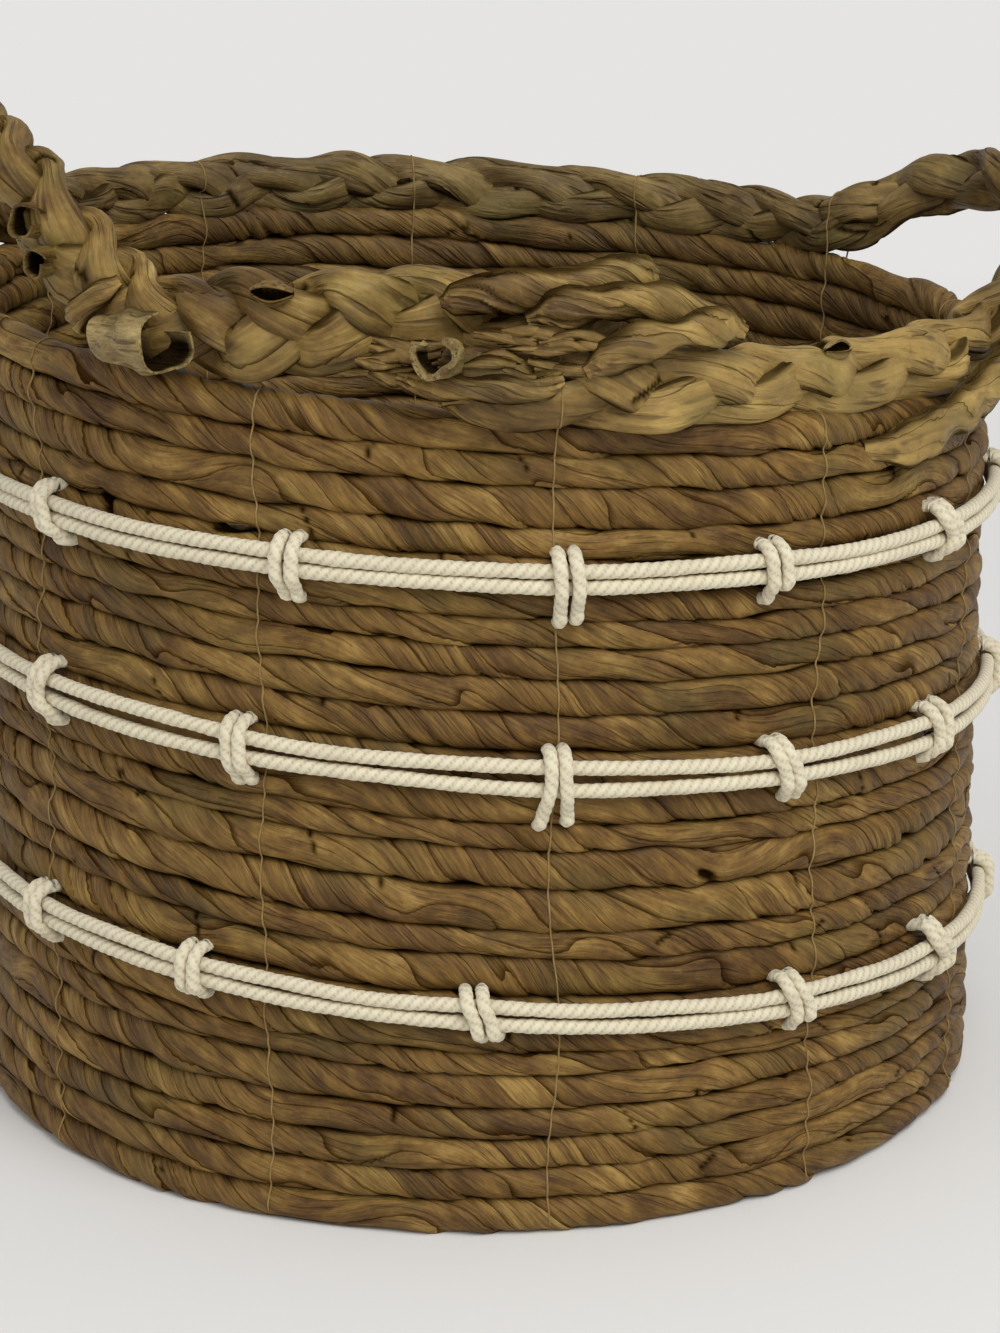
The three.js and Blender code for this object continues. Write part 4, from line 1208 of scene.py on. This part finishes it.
def leaf_material(name, strips, stops, look):
    material, tree = new_material(name)
    dark = add(tree, "ShaderNodeAttribute", attribute_name="dark").outputs["Fac"]
    flat = add(tree, "ShaderNodeUVMap", uv_map="twist").outputs["UV"]
    twist = add(tree, "ShaderNodeSeparateXYZ", {0: flat})
    around = twist.outputs["X"]
    across = add(tree, "ShaderNodeMath", {0: around}, operation="FRACT").outputs[0]
    whole = add(tree, "ShaderNodeMath", {0: around}, operation="FLOOR").outputs[0]
    number = add(tree, "ShaderNodeMath", {0: whole, 1: float(strips)}, operation="FLOORED_MODULO").outputs[0]
    apart = add(tree, "ShaderNodeMath", {0: number, 1: STRIPS_APART}, operation="MULTIPLY").outputs[0]
    metres = twist.outputs["Y"]
    leaves = add(tree, "ShaderNodeMath", {0: metres, 1: LEAF_LENGTH}, operation="DIVIDE").outputs[0]
    places = {
        "leaf": add(tree, "ShaderNodeCombineXYZ", {0: apart, 1: leaves}).outputs[0],
        "lay": add(tree, "ShaderNodeAttribute", attribute_name="lay").outputs["Vector"],
        "place": add(tree, "ShaderNodeTexCoord").outputs["Object"],
    }

    noises = {}
    for label, (source, wide, long, detail, roughness) in NOISES.items():
        sockets = {0: places[source], 1: (1 / wide, 1 / wide, 1 / long)}
        scaled = add(tree, "ShaderNodeVectorMath", sockets, operation="MULTIPLY").outputs[0]
        sockets = {"Vector": scaled, "Scale": 1.0, "Detail": detail, "Roughness": roughness}
        noises[label] = add(tree, "ShaderNodeTexNoise", sockets).outputs["Fac"]

    value = 0.5
    for label, weight in look["tones"].items():
        centred = add(tree, "ShaderNodeMath", {0: noises[label], 1: 0.5}, operation="SUBTRACT").outputs[0]
        sockets = {0: centred, 1: weight, 2: value}
        value = add(tree, "ShaderNodeMath", sockets, operation="MULTIPLY_ADD").outputs[0]
    ramp = add(tree, "ShaderNodeValToRGB", {"Fac": value})
    points = ramp.color_ramp.elements
    while len(points) < len(stops):
        points.new(0.5)
    for point, (position, code) in zip(points, stops):
        point.position = position
        point.color = linear(code)
    colour = ramp.outputs["Color"]

    sides = add(tree, "ShaderNodeSeparateXYZ", {0: places["place"]})
    # how far a place lies towards the front right, where the painted light is laid on
    painted_light_share = 1.0
    for axis, (start, full) in {"X": PAINTED_LIGHT_RIGHT, "Y": PAINTED_LIGHT_FRONT}.items():
        sockets = {"Value": sides.outputs[axis], "From Min": start, "From Max": full}
        near = add(tree, "ShaderNodeMapRange", sockets).outputs["Result"]
        painted_light_share = add(tree, "ShaderNodeMath", {0: near, 1: painted_light_share}, operation="MULTIPLY").outputs[0]

    # each layer: a field, its value where the layer starts and where it is full, its most, and its colour
    # greyer towards the back
    layers = [(sides.outputs["Y"], *GREYED_BACK, look["grey"], GREY_TOWARDS_BACK)]
    # painted light towards the front right
    layers.append((painted_light_share, 0, 1, look["painted_light"], PAINTED_LIGHT_STRAW))
    for stain, (source, start, full) in STAINS.items():
        layers.append((noises[source], start, full, *look["stains"][stain]))
    # painted shadow just under the step of each strip's edge
    layers.append((across, look["edge_shadow_width"], 0, look["edge"], EDGE_SHADOW_BROWN))
    # painted shade in the seams, the cracks, the open folds and inside the scrolls
    layers.append((dark, 0, 1, look["seam"], SEAM_SHADE_BROWN))
    shares = []
    for field, start, full, most, code in layers:
        sockets = {"Value": field, "From Min": start, "From Max": full, "To Max": most}
        shares.append(add(tree, "ShaderNodeMapRange", sockets).outputs["Result"])
        sockets = {MIX_SHARE: shares[-1], MIX_UNDER: colour, MIX_OVER: linear(code)}
        colour = add(tree, "ShaderNodeMix", sockets, data_type="RGBA").outputs[MIX_RESULT]

    height = noises["streak"]
    for label, weight in {"fibre": FIBRE_RELIEF, "wrinkle": look["wrinkle"]}.items():
        sockets = {0: noises[label], 1: weight, 2: height}
        height = add(tree, "ShaderNodeMath", sockets, operation="MULTIPLY_ADD").outputs[0]
    sockets = {"Value": noises["split"], "From Min": 0.58, "From Max": 0.7, "To Max": SPLIT_RELIEF}
    torn = add(tree, "ShaderNodeMapRange", sockets).outputs["Result"]
    relief = add(tree, "ShaderNodeMath", {0: height, 1: torn}, operation="ADD").outputs[0]
    bump = add(tree, "ShaderNodeBump", {"Height": relief, "Strength": 1.0, "Distance": look["bump"]})

    least, most = look["rough"]
    sockets = {"Value": noises["streak"], "From Min": 0.3, "From Max": 0.7, "To Min": least, "To Max": most}
    rough = add(tree, "ShaderNodeMapRange", sockets).outputs["Result"]
    # no gloss where the painted shade or the painted shadow lies
    hidden = add(tree, "ShaderNodeMath", {0: shares[-1], 1: shares[-2]}, operation="MAXIMUM").outputs[0]
    sockets = {"Value": hidden, "From Max": HIDDEN, "To Min": LEAF_GLOSS, "To Max": 0}
    gloss = add(tree, "ShaderNodeMapRange", sockets).outputs["Result"]
    shader = add(tree, "ShaderNodeBsdfPrincipled", {
        "Base Color": colour, "Roughness": rough, "Normal": bump.outputs["Normal"], "IOR": LEAF_IOR,
        "Specular IOR Level": gloss,
    })
    add(tree, "ShaderNodeOutputMaterial", {"Surface": shader.outputs[0]})
    print(name, "nodes:", len(tree.nodes))
    return material


# %% [markdown]
# ## Three leaves
# The rope is twisted from the darker, narrower leaf. The plait has the broad one, which is paler and
# more blotched. In two places, the pouch on the left and the cut end in the middle, the leaf shows
# its bleached inner side and its torn edge.

# %% The leaf of the rope, of the plait, and its inner side
# Stops of tone: a place on the ramp and a colour, from the darkest blotch to the most faded streak
ROPE_STOPS = [
    (0.0, "1C0F06"), (0.2, "3F280F"), (0.4, "61451E"), (0.58, "82622E"), (0.78, "A78748"), (1.0, "C9AB69"),
]
PLAIT_STOPS = [
    (0.0, "281808"), (0.22, "4A3316"), (0.45, "6E542A"), (0.64, "8F733C"), (0.84, "B09353"), (1.0, "CFB67C"),
]
INNER_STOPS = [
    (0.0, "46351C"), (0.22, "6E5733"), (0.45, "95804F"), (0.64, "B39C68"), (0.84, "CDB985"), (1.0, "E2D3A6"),
]
ROPE_LOOK = {
    "tones": {"tone": 0.55, "mottle": 0.82, "patch": 0.35, "streak": 0.24, "fibre": 0.26, "length": 0.5},
    "stains": {
        "olive": (0.25, "6A6130"), "umber": (0.2, "4C2E12"), "speck": (0.35, SPECK_BROWN),
        "fleck": (0.06, FLECK_CREAM), "split": (0.28, SPLIT_BROWN),
    },
    "grey": 0.18, "painted_light": 0.0, "edge_shadow_width": 0.085, "edge": 0.85, "seam": 0.97,
    "rough": (0.47, 0.65), "wrinkle": 0.9, "bump": 0.55 * MM,
}
# the plait's leaf gets painted light towards the front right; the rope's gets none
PLAIT_LOOK = {
    "tones": {"tone": 0.6, "mottle": 0.75, "patch": 0.8, "streak": 0.5, "fibre": 0.4, "length": 0.6},
    "stains": {
        "olive": (0.35, "6C6636"), "umber": (0.3, "4E3212"), "speck": (0.25, SPECK_BROWN),
        "fleck": (0.1, FLECK_CREAM), "split": (0.5, SPLIT_BROWN),
    },
    "grey": 0.4, "painted_light": 0.3, "edge_shadow_width": 0.05, "edge": 0.85, "seam": 0.95,
    "rough": (0.44, 0.62), "wrinkle": 0.8, "bump": 0.5 * MM,
}
PALE_FOLDS = ("rim_fold_cup", "rim_cut_end")

rope_leaf = leaf_material("dried_leaf_rope", WALL_TWIST["strips"], ROPE_STOPS, ROPE_LOOK)
plait_leaf = leaf_material("dried_leaf_plait", STRAND_TWIST["strips"], PLAIT_STOPS, PLAIT_LOOK)
inner_leaf = leaf_material("dried_leaf_inner_side", 1, INNER_STOPS, PLAIT_LOOK)

# %% [markdown]
# ## Cotton and thread
# Undyed cotton is a warm cream. Its soft fibres scatter light, so the valleys between its plies get
# only a little painted shade. The fuzz on the yarn is a sheen and a fine bump. The sewing thread is
# spun in the same way, thin and tan, with painted shade between its plies too.

# %% Cotton cord and sewing thread
FUZZ_LENGTH = 5  # times its width
DUST_PATCH = 14 * MM
DUST_BROWN = "B7A684"
YARN_ROUGH = 0.9
YARN_IOR = 1.4


def yarn_material(name, high, low, fuzz, fuzz_width, sheen):
    """high and low: the colours of the plies and of the valleys between them; low is painted shade."""
    material, tree = new_material(name)
    lay = add(tree, "ShaderNodeAttribute", attribute_name="lay").outputs["Vector"]
    ply = add(tree, "ShaderNodeAttribute", attribute_name="ply").outputs["Fac"]
    place = add(tree, "ShaderNodeTexCoord").outputs["Object"]
    noises = []
    rows = ((lay, fuzz_width, fuzz_width * FUZZ_LENGTH, 0.6), (place, DUST_PATCH, DUST_PATCH, 0.5))
    for source, wide, long, roughness in rows:
        sockets = {0: source, 1: (1 / wide, 1 / wide, 1 / long)}
        scaled = add(tree, "ShaderNodeVectorMath", sockets, operation="MULTIPLY").outputs[0]
        sockets = {"Vector": scaled, "Scale": 1.0, "Detail": 3, "Roughness": roughness}
        noises.append(add(tree, "ShaderNodeTexNoise", sockets).outputs["Fac"])
    yarn, dust = noises

    # the high colour shows on the plies and the low one, painted shade, in their valleys; the fuzz shifts it
    share = 0.0
    for field, start, full, least, most in ((ply, 0, 0.75, 0, 0.8), (yarn, 0.3, 0.7, -0.1, 0.25)):
        sockets = {"Value": field, "From Min": start, "From Max": full, "To Min": least, "To Max": most}
        part = add(tree, "ShaderNodeMapRange", sockets).outputs["Result"]
        share = add(tree, "ShaderNodeMath", {0: part, 1: share}, operation="ADD").outputs[0]
    sockets = {"Value": dust, "From Min": 0.5, "From Max": 0.75, "To Max": 0.22}
    dusty = add(tree, "ShaderNodeMapRange", sockets).outputs["Result"]
    colour = linear(low)
    for layer, code in ((share, high), (dusty, DUST_BROWN)):
        sockets = {MIX_SHARE: layer, MIX_UNDER: colour, MIX_OVER: linear(code)}
        colour = add(tree, "ShaderNodeMix", sockets, data_type="RGBA").outputs[MIX_RESULT]

    bump = add(tree, "ShaderNodeBump", {"Height": yarn, "Strength": 1.0, "Distance": fuzz})
    shader = add(tree, "ShaderNodeBsdfPrincipled", {
        "Base Color": colour, "Roughness": YARN_ROUGH, "Normal": bump.outputs["Normal"], "IOR": YARN_IOR,
        "Sheen Weight": sheen, "Sheen Roughness": 0.5,
    })
    add(tree, "ShaderNodeOutputMaterial", {"Surface": shader.outputs[0]})
    print(name, "nodes:", len(tree.nodes))
    return material


cotton = yarn_material("undyed_cotton_cord", "F0E7CB", "B7A782", 0.3 * MM, 0.35 * MM, 0.15)
thread = yarn_material("tan_sewing_thread", "A0844F", "705630", 0.1 * MM, 0.2 * MM, 0.05)

# %% Give each piece its finish and its place in the assembly


def dress(piece, material, slot, *nodes):
    piece.data.materials.clear()
    piece.data.materials.append(material)
    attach(piece, "root")
    if nodes:
        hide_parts(*nodes)


for piece, node in wall_pieces.values():
    dress(piece, rope_leaf, "leaf_rope", node)
dress(base, rope_leaf, "leaf_rope", "base_rope")
for index, piece in enumerate(strand_pieces):
    dress(piece, plait_leaf, "leaf_plait", f"rim_strand_{index + 1}")
for piece in rim_details:
    dress(piece, inner_leaf if piece.name in PALE_FOLDS else plait_leaf, "leaf_plait")
for node, piece in band_pieces.items():
    dress(piece, cotton, "cotton_cord", node)
for node, piece in tie_pieces.items():
    dress(piece, cotton, "cotton_tie", node)
for node, piece in stitch_pieces.items():
    dress(piece, thread, "stitch_thread", node)

# %% [markdown]
# ## Floor, light and camera
# The basket stands on a pale seamless floor. One broad soft lamp above the front right lights it, and
# a weak one from the left and an even sky fill its shadows. The lamps are at a plain level, at which
# a colour renders about as it is written. The pale background isn't lit: away from the basket, the
# floor and the sky turn into one plain colour for the camera.

# %% A pale floor that keeps the shadow
FLOOR_SIZE = 24
FLOOR_NEAR = 0.35  # metres from the middle, up to which the floor is lit as it is and keeps the shadow
FLOOR_FAR = 1.3  # from where it is the plain colour of the background
FLOOR_COLOUR = "E8E7E4"
BACKGROUND_COLOUR = "E5E4E2"

bpy.ops.object.select_all(action="DESELECT")
bpy.ops.mesh.primitive_plane_add(size=FLOOR_SIZE)
floor = bpy.context.object
floor.name = "floor"
floor_material, tree = new_material("pale_seamless_floor")
shader = add(tree, "ShaderNodeBsdfPrincipled", {"Base Color": linear(FLOOR_COLOUR), "Roughness": 0.9})
paper = add(tree, "ShaderNodeEmission", {"Color": linear(BACKGROUND_COLOUR), "Strength": 1.0})
place = add(tree, "ShaderNodeTexCoord").outputs["Object"]
away = add(tree, "ShaderNodeVectorMath", {0: place}, operation="LENGTH").outputs["Value"]
seen = add(tree, "ShaderNodeLightPath").outputs["Is Camera Ray"]
far = add(tree, "ShaderNodeMapRange", {"Value": away, "From Min": FLOOR_NEAR, "From Max": FLOOR_FAR})
share = add(tree, "ShaderNodeMath", {0: far.outputs["Result"], 1: seen}, operation="MULTIPLY").outputs[0]
both = add(tree, "ShaderNodeMixShader", {0: share, 1: shader.outputs[0], 2: paper.outputs[0]})
add(tree, "ShaderNodeOutputMaterial", {"Surface": both.outputs[0]})
floor.data.materials.append(floor_material)

# %% Two lamps and the sky
LAMP_AIM = (0, 0, 0.12)
LAMP_SIZE = 1.6
# each a place in metres and a power in watts
LAMPS = {"key": ((0.7, -1.4, 2.0), 37), "fill": ((-1.7, -1.3, 1.1), 4)}
SKY_COLOUR = "F1F1F3"
SKY_STRENGTH = 0.62

for name, (place, power) in LAMPS.items():
    lamp = bpy.data.lights.new(name, "AREA")
    lamp.size = LAMP_SIZE
    lamp.energy = power
    holder = bpy.data.objects.new(name, lamp)
    holder.location = place
    holder.rotation_euler = (Vector(LAMP_AIM) - Vector(place)).to_track_quat("-Z", "Y").to_euler()
    bpy.context.collection.objects.link(holder)

world = bpy.data.worlds.new("sky")
bpy.context.scene.world = world
world.use_nodes = True
tree = world.node_tree
tree.nodes.clear()
sky = add(tree, "ShaderNodeBackground", {"Color": linear(SKY_COLOUR), "Strength": SKY_STRENGTH})
backdrop = add(tree, "ShaderNodeBackground", {"Color": linear(BACKGROUND_COLOUR), "Strength": 1.0})
seen = add(tree, "ShaderNodeLightPath").outputs["Is Camera Ray"]
both = add(tree, "ShaderNodeMixShader", {0: seen, 1: sky.outputs[0], 2: backdrop.outputs[0]})
add(tree, "ShaderNodeOutputWorld", {"Surface": both.outputs[0]})
print("lamps:", list(LAMPS))

# %% The camera, at the photograph's angle
SENSOR_HEIGHT = 36
LENS = 98.3
CAMERA_PLACE = (0, -1.050, 0.435)
CAMERA_TILT = 16.9  # degrees down from level
CAMERA_TURN = -0.42  # degrees, to the right

camera = bpy.data.cameras.new("camera")
camera.sensor_fit = "VERTICAL"
camera.sensor_height = SENSOR_HEIGHT
camera.lens = LENS
camera_holder = bpy.data.objects.new("camera", camera)
camera_holder.location = CAMERA_PLACE
camera_holder.rotation_euler = (math.radians(90 - CAMERA_TILT), 0, math.radians(CAMERA_TURN))
bpy.context.collection.objects.link(camera_holder)
bpy.context.scene.camera = camera_holder
bpy.context.scene.view_settings.view_transform = "Standard"
print("camera looks down by", CAMERA_TILT, "degrees through a lens of", LENS, "mm")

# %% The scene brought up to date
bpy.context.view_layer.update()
